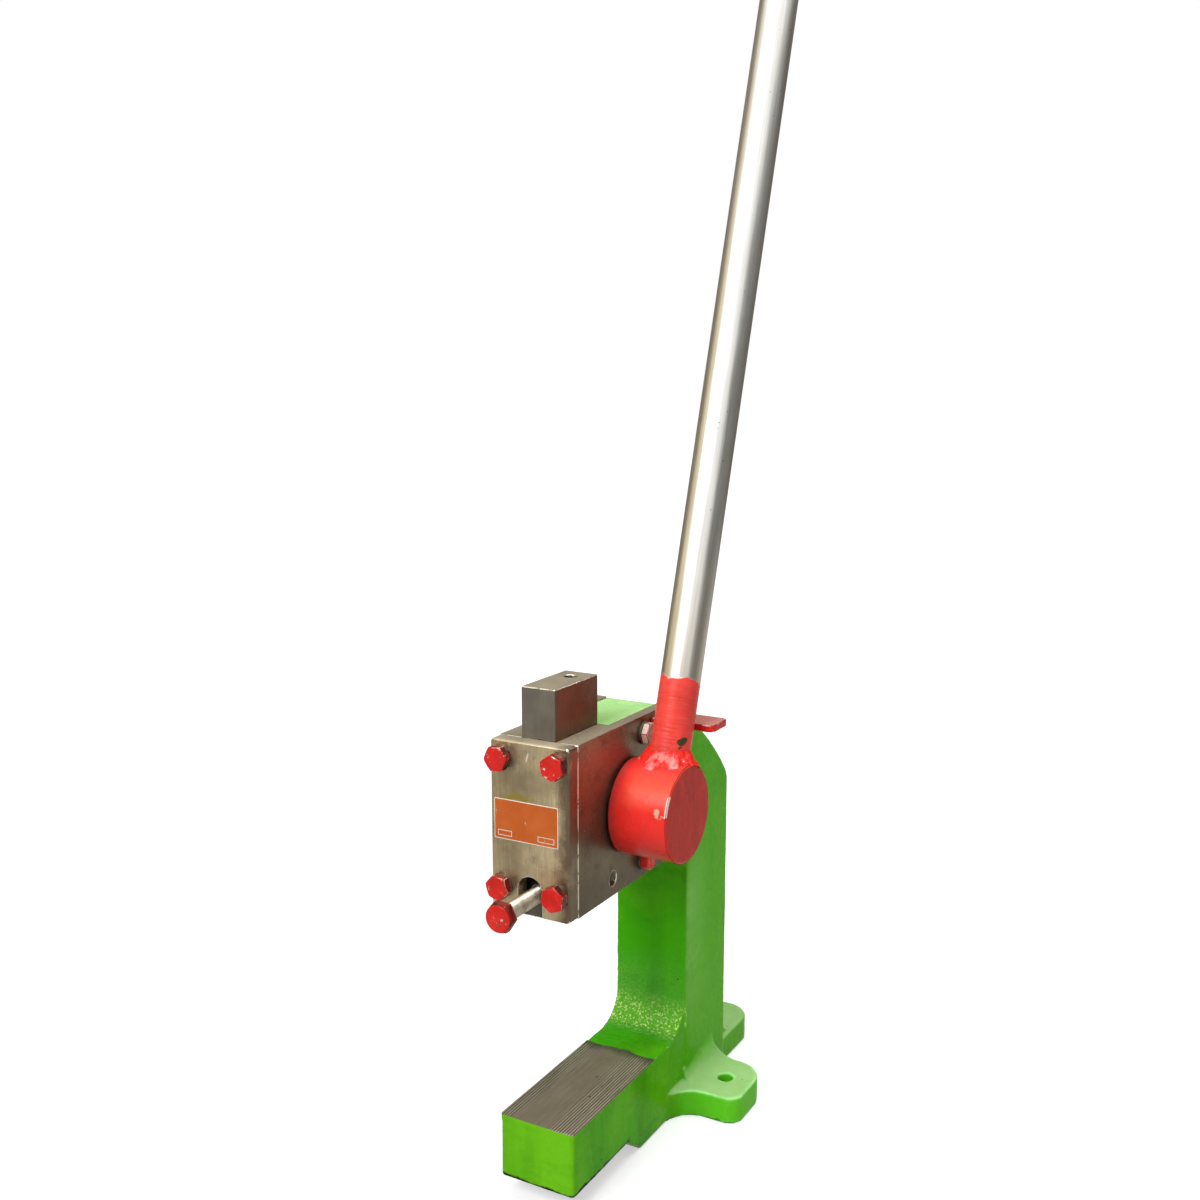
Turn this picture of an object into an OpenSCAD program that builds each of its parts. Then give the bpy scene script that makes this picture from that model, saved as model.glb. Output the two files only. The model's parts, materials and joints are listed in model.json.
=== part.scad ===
// Hand lever press: cast C frame, two steel cheeks, racked ram, pinion shaft and long tube lever.
// Millimetres. X to the right, Y to the back, Z up.
// Origin: on the middle plane, level with the ear hole, on the underside of the base.

/* [Base] */
// Width of the front bar, whose planed top is the anvil, and of the rear foot
bar_w = 71; // [68:0.2:73]
// Height of the planed top above the bench
anvil_z = 72.7; // [68:0.1:78]
// Gap under the front bar
relief = 17.5; // [12:0.5:22]
// Front end of the bar, measured forward of the ear hole
bar_reach = 224.5; // [218:0.1:230]
// Thickness of the ear and of the rear foot
foot_t = 25; // [22:0.5:28]
// Distance of the ear hole from the middle plane
ear_hole_x = 68; // [65:0.5:71]
// Distance of the rear foot's hole behind the ear hole
foot_hole_y = 112; // [108:1:118]
// Diameter of the two bench bolt holes
bolt_hole_d = 14; // [12:0.5:16]
// Width of the ear, front to back
ear_w = 70; // [64:1:74]
// Rear end of the foot, measured back from the ear hole
foot_reach = 142; // [136:1:148]
// Corner radius of the rear foot
foot_r = 27; // [18:1:30]
// Front corner radius of the ear
ear_front_r = 14; // [10:1:18]
// Rear corner radius of the ear
ear_rear_r = 28; // [22:1:30]
// Radius from the ear up to the column, at the rear edge of the ear
ear_fillet = 26; // [22:1:28]

/* [Column] */
// Column width, side to side
col_w = 74.4; // [73:0.2:77]
// Column depth, front to back
col_d = 89.1; // [86:0.1:94]
// Radius of the vertical column edges
col_r = 4; // [3:0.5:7]
// Radius from the planed top up to the column
foot_fillet = 34; // [28:1:42]
// Radius under the arm
arm_fillet = 30; // [18:1:34]
// Radius of the crown over the arm
crown_r = 301; // [298:0.5:304]
// Radius from the crown down to the rear face
shoulder_r = 36; // [30:1:42]
// Width of the tongue that the cheeks clamp
tongue_w = 50; // [48:0.5:52]

/* [Head] */
// Width over the cheeks and of the front plate
head_w = 72; // [71:0.2:73]
// Height of the cheeks and of the front plate
head_h = 140.5; // [138:0.5:144]
// Thickness of the front plate
plate_t = 13.6; // [10:0.2:16]
// Edge radius of the front plate
plate_r = 2; // [1:0.5:3]
// Width of the slot in the front plate for the clamp bolt
slot_w = 22; // [18:0.5:24]
// Distance between the front bolts, side to side
plate_bolt_x = 51.2; // [50:0.2:52]
// Distance between the front bolts, up and down
plate_bolt_z = 105; // [100:1:110]
// Distance between the two cheek bolts
cheek_bolt_z = 110; // [106:1:114]
// Reach of the lever stop out of the right cheek
stop_reach = 58; // [52:1:62]
// Thickness of the lever stop
stop_t = 6; // [4:0.5:8]

/* [Ram and gear] */
// Ram width
ram_w = 31; // [30:0.1:32]
// Ram length
ram_h = 188; // [182:1:196]
// Radius of the ram's long edges
ram_r = 1; // [0.5:0.1:1.2]
// Gear module
gear_m = 3; // [2.9:0.05:3.1]
// Tool socket diameter
socket_d = 20; // [16:0.5:22]
// Tool socket depth
socket_h = 45; // [38:1:50]
// Play between the ram and its guides
ram_play = 0.3; // [0.25:0.01:0.35]

/* [Lever] */
// Hub diameter
hub_d = 80; // [76:1:84]
// Hub length
hub_l = 53; // [50:1:58]
// Shaft journal diameter
shaft_d = 25; // [22:0.5:26]
// Lever tube outside diameter
tube_d = 33.7; // [31:0.1:36]
// Lever tube wall
tube_wall = 3.25; // [2.5:0.05:5]
// Lever length from the shaft axis
lever_l = 720; // [600:5:760]
// Lean of the lever behind the vertical at rest
lever_lean = 17.67; // [14:0.01:20]

/* [Hidden] */
$fn = 96;

green = [0.30, 0.62, 0.08];
red = [0.80, 0.10, 0.08];
steel = [0.47, 0.44, 0.37];
bright = [0.62, 0.61, 0.58];
bronze = [0.62, 0.45, 0.22];
dark = [0.20, 0.20, 0.20];

// Column and base
col_front = -23.5;
col_rear = col_front + col_d;
bar_front = -bar_reach;
step_front = -131;
step_rear = -109;
ear_end = ear_hole_x + 27;
bar_r = 4;
ear_corner = 28;
rear_corner = 18;
rear_fillet = 30;
arm_z = 255;

// Blend of the ear into the column: a cone whose radius falls to ear_nose at the column's front
ear_nose = 10.5;
nose_y = col_front - 2;
blend_k = (ear_fillet - ear_nose) / (ear_w / 2 - nose_y);
blend_y = nose_y - ear_nose / blend_k;
blend_n = sqrt(1 + 2 * blend_k * blend_k);

// Head
head_z = anvil_z + 181.2;
head_top = head_z + head_h;
cheek_front = -217;
cheek_rear = -63;
plate_front = cheek_front - plate_t;
crown_y = -170;
crown_z = 111;
shoulder_y = col_rear - shoulder_r;
shoulder_z = crown_z + sqrt(pow(crown_r - shoulder_r, 2) - pow(shoulder_y - crown_y, 2));
join_y = crown_y + (shoulder_y - crown_y) * crown_r / (crown_r - shoulder_r);
tongue_top = head_top - 0.9;

// Gear: profile shifted pinion of twelve teeth against a straight rack
teeth = 12;
shift = 0.3;
play = 0.28;
pitch_r = gear_m * teeth / 2;
base_r = pitch_r * cos(20);
tip_r = pitch_r + gear_m * (1 + shift);
root_r = pitch_r - gear_m * (1.25 - shift);
rack_p = PI * gear_m;
rack_line = pitch_r + shift * gear_m;
pinion_w = 28;
axis_z = head_z + head_h / 2 + 0.35;
plate_bolt_mid = axis_z + 3.4;

// Ram, from the front plate back to the rack tips
ram_front = cheek_front + ram_play;
ram_rear = -150.1;
axis_y = ram_rear + rack_line - gear_m;
ram_z = head_z - 6.4;
ram_top = ram_z + ram_h;
tongue_front = ram_rear + ram_play;
guide_x = ram_w / 2 + ram_play;
step_y = tongue_front - 0.1;
socket_y = (ram_front + ram_rear) / 2;
pocket_r = tip_r + 0.6;
clamp_z = head_z + 14.3;
lock_y = axis_y - 27.1;
lock_z = head_z + 14.8;

// Shaft stack, from the cheek outwards
side_x = head_w / 2;
gap = 0.3;
thrust_t = 1.2;
hub_x = side_x + gap + thrust_t;
bush_r = shaft_d / 2 + 3.5;
run = 0.05;
seat_l = 42;
key_w = 8;
key_h = 7;
key_l = 34;
key_x = hub_x + 3;
shaft_tail = 4;
groove_d = 1.2;
end_t = 2;
clip_t = 1.5;

// Fasteners
m10_af = 17;
m10_k = 6.4;
m12_af = 19;
m12_k = 7.5;
cheek_bolt_y = -108;
m10_r = 4.95;
m10_hole = 5.5;
m10_nut = 8;
m12_r = 5.95;
m12_hole = 6.6;
m12_tap = 6;
m14_af = 22;
m14_k = 8.8;
m14_r = 6.9;
tap_l = 30;
grip = 26;
tail = 13;
spring_t = 2.5;
spring_r = 9.3;
flat_t = 2;
flat_r = 10;
lock_r = 6;
top_hole_r = 5.5;
top_hole_h = 25;
clamp_out = 51;

// Lever and its stop
lever_x = hub_x + hub_l * 0.545;
tube_r = tube_d / 2;
stop_z = head_top - 4.9;
stop_front = axis_y + (tube_r + gap + (stop_z - axis_z) * sin(lever_lean)) / cos(lever_lean);
stop_rear = cheek_rear - 2;

// Shape drawn in Y and Z, thickened across X
module side(w) {
    rotate([90, 0, 90])
        linear_extrude(height = w, center = true)
            children();
}

// Round bar along X from x to x + l
module along_x(x, l, y, z, r) {
    translate([x, y, z])
        rotate([0, 90, 0])
            cylinder(h = l, r = r);
}

// Round bar along Y from y to y + l
module along_y(x, y, l, z, r) {
    translate([x, y, z])
        rotate([-90, 0, 0])
            cylinder(h = l, r = r);
}

// Rectangle with four round corners
module round_rect(w, d, r) {
    square([w - 2 * r, d], center = true);
    square([w, d - 2 * r], center = true);
    for (x = [-1, 1], y = [-1, 1])
        translate([x * (w / 2 - r), y * (d / 2 - r)])
            circle(r = r);
}

// Inside corner filler between two walls
module corner(r) {
    difference() {
        translate([-1, -1])
            square([r + 1, r + 1]);
        translate([r, r])
            circle(r = r);
    }
}

// Hexagon head with chamfered corners, standing on Z = 0
module hex_head(af, k) {
    big = af / 2 / cos(30);
    intersection() {
        cylinder(h = k, r = big, $fn = 6);
        union() {
            cylinder(h = k - 1.3, r = big);
            translate([0, 0, k - 1.3])
                cylinder(h = 1.3, r1 = big, r2 = af * 0.45);
        }
    }
}

// Bolt with its head up from Z = 0 and its shank below
module hex_bolt(af, k, r, l) {
    hex_head(af, k);
    translate([0, 0, -l + 1])
        cylinder(h = l - 0.99, r = r);
    translate([0, 0, -l])
        cylinder(h = 1.01, r1 = r - 1, r2 = r);
}

// Outline of the column under the crown
module crown() {
    intersection() {
        translate([crown_y, crown_z])
            circle(r = crown_r);
        translate([crown_y, -10])
            square([join_y - crown_y, crown_z + crown_r]);
    }
    translate([shoulder_y, shoulder_z])
        circle(r = shoulder_r);
    translate([crown_y, -10])
        square([col_rear + 10 - crown_y, shoulder_z + 10]);
}

// Front bar with its raised underside
module bar() {
    intersection() {
        side(bar_w)
            polygon([[bar_front, relief], [step_front, relief], [step_rear, 0], [col_rear - 12, 0],
                [col_rear - 12, anvil_z], [bar_front, anvil_z]]);
        translate([0, (bar_front + col_rear) / 2, -1])
            linear_extrude(height = anvil_z + 2)
                round_rect(bar_w, col_rear - bar_front, bar_r);
    }
}

// Plan of the ear, with a tighter corner in front than behind
module ear_shape() {
    half = ear_w / 2;
    translate([0, -half])
        square([ear_end - ear_front_r, ear_w - ear_rear_r]);
    translate([0, -half + ear_front_r])
        square([ear_end, ear_w - ear_front_r - ear_rear_r]);
    translate([0, half - ear_rear_r - 1])
        square([ear_end - ear_rear_r, ear_rear_r + 1]);
    translate([ear_end - ear_front_r, -half + ear_front_r])
        circle(r = ear_front_r);
    translate([ear_end - ear_rear_r, half - ear_rear_r])
        circle(r = ear_rear_r);
}

// Ear and rear foot, one flat plate with blended inside corners
module feet() {
    linear_extrude(height = foot_t) {
        translate([0, foot_reach / 2])
            round_rect(bar_w, foot_reach, foot_r);
        ear_shape();
        translate([bar_w / 2, -ear_w / 2])
            mirror([0, 1])
                corner(ear_corner);
        translate([bar_w / 2, ear_w / 2])
            corner(rear_corner);
    }
}

// Filler between the ear and the column side, hollowed by a cone
module ear_blend() {
    wide = ear_fillet + 4;
    far = ear_w / 2;
    difference() {
        intersection() {
            translate([0, 0, foot_t - 2])
                linear_extrude(height = wide)
                    polygon([[col_w / 2 - 4, nose_y], [col_w / 2 + ear_nose, nose_y],
                        [col_w / 2 + ear_fillet, far], [col_w / 2 - 4, far]]);
            side(2 * (col_w + wide))
                polygon([[nose_y, foot_t - 2], [nose_y, foot_t + ear_nose],
                    [far, foot_t + ear_fillet], [far, foot_t - 2]]);
        }
        translate([col_w / 2 - 0.05, blend_y, foot_t - 0.05])
            rotate([0, acos(blend_k / blend_n), atan2(1, blend_k)])
                cylinder(h = 2 * ear_w, r1 = 0, r2 = 2 * ear_w * tan(asin(blend_k / blend_n)));
    }
}

module frame_casting() {
    color(green)
        difference() {
            union() {
                bar();
                feet();
                intersection() {
                    translate([0, (col_front + col_rear) / 2, 0])
                        linear_extrude(height = head_top)
                            round_rect(col_w, col_d, col_r);
                    side(col_w + 2)
                        crown();
                }
                intersection() {
                    translate([-col_w / 2, cheek_rear, arm_z])
                        cube([col_w, col_rear - 20 - cheek_rear, head_top - arm_z]);
                    side(col_w + 2)
                        crown();
                }
                intersection() {
                    translate([-tongue_w / 2, tongue_front, arm_z])
                        cube([tongue_w, cheek_rear + 5 - tongue_front, tongue_top - arm_z]);
                    side(col_w + 2)
                        union() {
                            crown();
                            translate([tongue_front - 1, arm_z - 1])
                                square([cheek_rear - tongue_front + 1, tongue_top]);
                        }
                }
                translate([0, col_front, anvil_z])
                    side(bar_w)
                        mirror([1, 0])
                            corner(foot_fillet);
                translate([0, col_front, arm_z])
                    side(col_w - 2 * col_r)
                        mirror([1, 0])
                            mirror([0, 1])
                                corner(arm_fillet);
                ear_blend();
                translate([0, col_rear, foot_t])
                    side(bar_w - 2 * col_r)
                        corner(rear_fillet);
            }
            for (p = [[ear_hole_x, 0, -1], [0, foot_hole_y, -1]])
                translate(p)
                    cylinder(h = foot_t + ear_fillet, r = bolt_hole_d / 2);
            along_x(-tongue_w, 2 * tongue_w, axis_y, axis_z, pocket_r);
            for (s = [-1, 1])
                along_x(-tongue_w, 2 * tongue_w, cheek_bolt_y, axis_z + s * cheek_bolt_z / 2, m10_hole);
        }
}

// One cheek, thick beside the ram and thin beside the tongue
module cheek(bore) {
    difference() {
        union() {
            translate([guide_x, cheek_front, head_z])
                cube([side_x - guide_x, step_y - cheek_front, head_h]);
            translate([tongue_w / 2, step_y - 1, head_z])
                cube([side_x - tongue_w / 2, cheek_rear - step_y + 1, head_h]);
        }
        along_x(0, side_x + 10, axis_y, axis_z, bore);
        for (s = [-1, 1]) {
            along_x(0, side_x + 10, cheek_bolt_y, axis_z + s * cheek_bolt_z / 2, m10_hole);
            along_y(plate_bolt_x / 2, cheek_front - 1, tap_l + 1,
                plate_bolt_mid + s * plate_bolt_z / 2, m12_tap);
        }
    }
}

module right_cheek() {
    color(steel)
        difference() {
            cheek(bush_r);
            along_x(0, side_x + 10, lock_y, lock_z, lock_r);
        }
}

module left_cheek() {
    color(steel)
        mirror([1, 0, 0])
            cheek(bush_r);
}

module front_plate() {
    color(steel)
        difference() {
            intersection() {
                translate([0, cheek_front, axis_z - 0.35])
                    rotate([90, 0, 0])
                        linear_extrude(height = plate_t)
                            round_rect(head_w, head_h, plate_r + 1);
                translate([0, plate_front + plate_t, head_z - 1])
                    linear_extrude(height = head_h + 2)
                        round_rect(head_w, 2 * plate_t, plate_r);
                translate([0, plate_front + plate_t, axis_z - 0.35])
                    side(head_w + 2)
                        round_rect(2 * plate_t, head_h, plate_r);
            }
            along_y(0, plate_front - 1, plate_t + 2, head_z + 32.1 - slot_w / 2, slot_w / 2);
            translate([-slot_w / 2, plate_front - 1, head_z - 1])
                cube([slot_w, plate_t + 2, 33.1 - slot_w / 2]);
            for (x = [-1, 1], s = [-1, 1])
                along_y(x * plate_bolt_x / 2, plate_front - 1, plate_t + 2,
                    plate_bolt_mid + s * plate_bolt_z / 2, m12_hole);
        }
}

// Four front bolts, heads towards the front
module front_plate_bolts() {
    color(red)
        for (x = [-1, 1], s = [-1, 1])
            translate([x * plate_bolt_x / 2, plate_front - spring_t, plate_bolt_mid + s * plate_bolt_z / 2])
                rotate([90, 0, 0])
                    rotate([0, 0, 14 + 17 * x + 9 * s])
                        hex_bolt(m12_af, m12_k, m12_r, plate_t + grip);
}

// Split spring washers under the front bolts
module front_plate_washers() {
    color(dark)
        for (x = [-1, 1], s = [-1, 1])
            translate([x * plate_bolt_x / 2, plate_front, plate_bolt_mid + s * plate_bolt_z / 2])
                rotate([90, 0, 0])
                    difference() {
                        cylinder(h = spring_t, r = spring_r);
                        translate([0, 0, -1])
                            cylinder(h = spring_t + 2, r = m12_r + 0.15);
                        rotate([0, 0, 60 * s + 30 * x])
                            translate([0, -0.6, -1])
                                cube([12, 1.2, spring_t + 2]);
                    }
}

module cheek_bolts() {
    color(red)
        for (s = [-1, 1])
            translate([side_x + flat_t, cheek_bolt_y, axis_z + s * cheek_bolt_z / 2])
                rotate([0, 90, 0])
                    rotate([0, 0, 10 + 12 * s])
                        hex_bolt(m10_af, m10_k, m10_r, head_w + 2 * flat_t + tail);
}

module cheek_bolt_washers() {
    color(dark)
        for (s = [-1, 1], m = [0, 1])
            mirror([m, 0, 0])
                difference() {
                    along_x(side_x, flat_t, cheek_bolt_y, axis_z + s * cheek_bolt_z / 2, flat_r);
                    along_x(side_x - 1, flat_t + 2, cheek_bolt_y, axis_z + s * cheek_bolt_z / 2,
                        m10_r + 0.35);
                }
}

module cheek_nuts() {
    color(red)
        for (s = [-1, 1])
            translate([-side_x - flat_t, cheek_bolt_y, axis_z + s * cheek_bolt_z / 2])
                rotate([0, -90, 0])
                    difference() {
                        rotate([0, 0, 20 * s])
                            hex_head(m10_af, m10_nut);
                        translate([0, 0, -1])
                            cylinder(h = m10_nut + 2, r = m10_r + 0.02);
                    }
}

// Flat bar that the lever leans on, welded to the right cheek
module stop_plate() {
    w = stop_rear - stop_front;
    color(red)
        translate([side_x, (stop_front + stop_rear) / 2, stop_z - stop_t])
            linear_extrude(height = stop_t)
                union() {
                    translate([0, -w / 2])
                        square([stop_reach - 6, w]);
                    translate([0, -w / 2 + 6])
                        square([stop_reach, w - 12]);
                    for (s = [-1, 1])
                        translate([stop_reach - 6, s * (w / 2 - 6)])
                            circle(r = 6);
                }
}

// Weld run under the stop, along the cheek
module stop_weld() {
    color(red)
        translate([side_x, stop_rear - 2, stop_z - stop_t])
            rotate([90, 0, 0])
                linear_extrude(height = stop_rear - stop_front - 4)
                    polygon([[0, 0], [5, 0], [3, -3], [0, -5]]);
}

// Plain bronze bush, as long as the thin part of the cheek
module bush() {
    difference() {
        along_x(tongue_w / 2, side_x - tongue_w / 2, axis_y, axis_z, bush_r);
        along_x(0, side_x + 10, axis_y, axis_z, shaft_d / 2 + run);
    }
}

module right_bush() {
    color(bronze)
        bush();
}

module left_bush() {
    color(bronze)
        mirror([1, 0, 0])
            bush();
}

// Pressure angle met at radius r, and the turn of the flank from there, both in degrees
function flank_a(r) = acos(min(1, base_r / r));
function inv(a) = tan(a) * 180 / PI - a;
tooth_half = (PI / 2 + 2 * shift * tan(20) - play / gear_m) / teeth * 180 / PI;
function half(r) = tooth_half + inv(20) - inv(flank_a(r));
function polar(r, a) = [r * cos(a), r * sin(a)];
flank_n = 7;
function flank_r(i) = base_r + (tip_r - base_r) * i / flank_n;

// Tooth outline of the pinion, one tooth pointing along the first axis
module pinion_shape() {
    polygon([for (t = [0 : teeth - 1]) let (a = t * 360 / teeth) each concat(
        [polar(root_r, a - half(base_r))],
        [for (i = [0 : flank_n]) polar(flank_r(i), a - half(flank_r(i)))],
        [for (i = [flank_n : -1 : 0]) polar(flank_r(i), a + half(flank_r(i)))],
        [polar(root_r, a + half(base_r))])]);
}

// Shaft with its teeth cut from the solid
module pinion_shaft() {
    clip_x = -side_x - gap - end_t;
    left_end = clip_x - clip_t - shaft_tail;
    color(bright)
        difference() {
            union() {
                translate([0, axis_y, axis_z])
                    rotate([0, 0, 180])
                        side(pinion_w)
                            pinion_shape();
                along_x(left_end, hub_x + seat_l - left_end, axis_y, axis_z, shaft_d / 2);
            }
            difference() {
                along_x(clip_x - clip_t - 0.05, clip_t + 0.05, axis_y, axis_z, shaft_d / 2 + 1);
                along_x(clip_x - clip_t - 1, clip_t + 2, axis_y, axis_z, shaft_d / 2 - groove_d);
            }
            translate([key_x, axis_y - key_w / 2, axis_z + shaft_d / 2 - 4])
                cube([key_l, key_w, 10]);
        }
}

// Round hub with a blind bore and a keyway
module lever_hub() {
    color(red)
        difference() {
            union() {
                along_x(hub_x, 1.5, axis_y, axis_z, hub_d / 2 - 0.8);
                along_x(hub_x + 1, hub_l - 2, axis_y, axis_z, hub_d / 2);
                translate([hub_x + hub_l - 1.01, axis_y, axis_z])
                    rotate([0, 90, 0])
                        cylinder(h = 1.01, r1 = hub_d / 2, r2 = hub_d / 2 - 1);
            }
            along_x(hub_x - 1, seat_l + 1.5, axis_y, axis_z, shaft_d / 2 + 0.02);
            translate([hub_x - 1, axis_y - key_w / 2, axis_z])
                cube([key_l + 4.2, key_w, shaft_d / 2 + key_h - 3.7]);
        }
}

module hub_key() {
    color(dark)
        translate([key_x + 0.1, axis_y - key_w / 2 + 0.02, axis_z + shaft_d / 2 - 4])
            cube([key_l - 0.2, key_w - 0.04, key_h]);
}

// Frame of the lever: Z runs out along the tube from the shaft axis
module lever_frame() {
    translate([lever_x, axis_y, axis_z])
        rotate([-lever_lean, 0, 0])
            children();
}

module lever_tube() {
    color(bright)
        difference() {
            lever_frame()
                difference() {
                    union() {
                        translate([0, 0, 25])
                            cylinder(h = lever_l - 26, r = tube_r);
                        translate([0, 0, lever_l - 1.01])
                            cylinder(h = 1.01, r1 = tube_r, r2 = tube_r - 1);
                    }
                    translate([0, 0, 20])
                        cylinder(h = lever_l, r = tube_r - tube_wall);
                }
            along_x(hub_x - 5, hub_l + 10, axis_y, axis_z, hub_d / 2);
        }
}

// Fillet weld around the foot of the lever
module lever_weld() {
    color(red)
        difference() {
            lever_frame()
                difference() {
                    translate([0, 0, hub_d / 2 - 12])
                        cylinder(h = 21, r1 = tube_r + 10, r2 = tube_r + 0.4);
                    cylinder(h = hub_d, r = tube_r);
                }
            along_x(hub_x - 5, hub_l + 10, axis_y, axis_z, hub_d / 2);
        }
}

// Ring between the hub and the right cheek
module thrust_washer() {
    color(dark)
        difference() {
            along_x(side_x + gap, thrust_t, axis_y, axis_z, hub_d / 2 - 6);
            along_x(side_x, thrust_t + 2, axis_y, axis_z, shaft_d / 2 + 0.2);
        }
}

module end_washer() {
    color(dark)
        difference() {
            along_x(-side_x - gap - end_t, end_t, axis_y, axis_z, bush_r + 5);
            along_x(-side_x - gap - end_t - 1, end_t + 2, axis_y, axis_z, shaft_d / 2 + 0.2);
        }
}

// Open ring in the groove at the left end of the shaft
module end_circlip() {
    x = -side_x - gap - end_t - clip_t;
    color(dark)
        difference() {
            along_x(x, clip_t, axis_y, axis_z, shaft_d / 2 + 2.6);
            along_x(x - 1, clip_t + 2, axis_y, axis_z, shaft_d / 2 - groove_d);
            translate([x - 1, axis_y - 4, axis_z - shaft_d])
                cube([clip_t + 2, 8, shaft_d]);
        }
}

// Gap between two rack teeth, drawn in Y and Z about its own centre line
module rack_gap() {
    out = (gear_m + 1) * tan(20) + rack_p / 4;
    polygon([[1, out], [1, -out], [-2.25 * gear_m, -(rack_p / 4 - 1.25 * gear_m * tan(20))],
        [-2.25 * gear_m, rack_p / 4 - 1.25 * gear_m * tan(20)]]);
}

module ram() {
    color(steel)
        difference() {
            translate([0, socket_y, ram_z])
                linear_extrude(height = ram_h)
                    round_rect(ram_w, ram_rear - ram_front, ram_r);
            for (k = [-2 : 6])
                translate([0, ram_rear, axis_z + k * rack_p])
                    side(ram_w + 2)
                        rack_gap();
            translate([0, socket_y, ram_z - 1])
                cylinder(h = socket_h + 1, r = socket_d / 2);
            along_y(0, ram_front - 1, socket_y - ram_front + 1, clamp_z, m14_r + 0.1);
            translate([0, axis_y - 33, ram_top - top_hole_h])
                cylinder(h = top_hole_h + 1, r = top_hole_r);
        }
}

// Clamp bolt for the tool, screwed into the front of the ram
module clamp_bolt() {
    color(red)
        translate([0, ram_front - clamp_out, clamp_z])
            rotate([90, 0, 0])
                rotate([0, 0, 12])
                    hex_bolt(m14_af, m14_k, m14_r, clamp_out + socket_y - ram_front - socket_d / 2 - 2.5);
}

frame_casting();
right_cheek();
left_cheek();
front_plate();
front_plate_bolts();
front_plate_washers();
cheek_bolts();
cheek_bolt_washers();
cheek_nuts();
stop_plate();
stop_weld();
right_bush();
left_bush();
pinion_shaft();
lever_hub();
hub_key();
lever_tube();
lever_weld();
thrust_washer();
end_washer();
end_circlip();
ram();
clamp_bolt();
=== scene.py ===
import json
import math

import bmesh
import bpy
import numpy as np
from mathutils import Matrix, Vector, noise

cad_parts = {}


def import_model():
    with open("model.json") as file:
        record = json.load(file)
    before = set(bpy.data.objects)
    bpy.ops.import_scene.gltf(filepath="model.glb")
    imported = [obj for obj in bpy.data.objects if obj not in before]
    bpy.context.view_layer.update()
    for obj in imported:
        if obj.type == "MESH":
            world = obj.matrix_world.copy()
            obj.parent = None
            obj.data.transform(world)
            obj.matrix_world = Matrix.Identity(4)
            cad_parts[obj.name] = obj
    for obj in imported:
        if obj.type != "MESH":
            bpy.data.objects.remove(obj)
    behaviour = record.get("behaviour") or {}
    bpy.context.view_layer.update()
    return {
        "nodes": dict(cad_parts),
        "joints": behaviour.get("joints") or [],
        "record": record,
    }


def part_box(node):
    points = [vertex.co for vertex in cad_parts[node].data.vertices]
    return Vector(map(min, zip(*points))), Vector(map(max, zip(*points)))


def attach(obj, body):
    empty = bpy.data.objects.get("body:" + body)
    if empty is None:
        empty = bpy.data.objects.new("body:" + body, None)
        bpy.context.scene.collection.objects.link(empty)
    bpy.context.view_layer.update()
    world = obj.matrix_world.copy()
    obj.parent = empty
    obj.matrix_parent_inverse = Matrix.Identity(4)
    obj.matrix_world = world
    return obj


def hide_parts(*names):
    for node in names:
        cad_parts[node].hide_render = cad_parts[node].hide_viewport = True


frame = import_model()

MM = 0.001
SAME_POINT = 0.005 * MM
NODES = frame["nodes"]
MOUNTS = {m["name"]: m for m in frame["record"]["mounts"]}

# Places taken from the frame
SWING = next(j for j in frame["joints"] if j["name"] == "lever_swing")
AXIS = Vector(SWING["pos_m"])
HUB_LO, HUB_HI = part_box("lever_hub")
TUBE_LO, TUBE_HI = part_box("lever_tube")
CHEEK_LO, CHEEK_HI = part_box("right_cheek")
WELD_LO, WELD_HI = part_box("stop_weld")
CLAMP_LO, CLAMP_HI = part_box("clamp_bolt")
PLATE_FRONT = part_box("front_plate")[0].y
BAR_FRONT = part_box("frame_casting")[0].y
RAM_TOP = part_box("ram")[1].z
ANVIL_Z = MOUNTS["anvil_face"]["pos_m"][2]

# Lever and hub
HUB_R = (HUB_HI.z - HUB_LO.z) / 2
TUBE_R = (TUBE_HI.x - TUBE_LO.x) / 2
TUBE_X = (TUBE_HI.x + TUBE_LO.x) / 2
LEAN = math.radians(17.67)
LEVER_DIR = Vector((0, math.sin(LEAN), math.cos(LEAN)))
LEVER_SIDE = Vector((0, math.cos(LEAN), -math.sin(LEAN)))
LEVER_FOOT = Vector((TUBE_X, AXIS.y, AXIS.z))
PAINT_END = 108 * MM          # reach of the red paint along the tube

# Front bar and its planed top
BAR_HALF = 35.5 * MM
BAR_CORNER = 4 * MM
PLANED_END = -81.8 * MM
RELIEF = 17.5 * MM            # step under the bar
LINE_PITCH = 2.5 * MM
LINES_LEFT = (-22, -26)       # X in mm, where the bold tool lines start and are full
LINES_RIGHT = (9, 16)

# Single marks in the finish
RIM_CHIP = Vector((HUB_HI.x - 0.5 * MM, AXIS.y - 37 * MM, AXIS.z + 15 * MM))
HUB_CHIP = Vector((HUB_HI.x - 8 * MM, AXIS.y - 38.7 * MM, AXIS.z + 10 * MM))
FOOT_CHIP = Vector((80.4 * MM, -126.1 * MM, 380.8 * MM))
SCRATCH = Vector((-1.6 * MM, 0, 383.1 * MM))
SCRATCH_LEAN = 0.25

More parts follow.
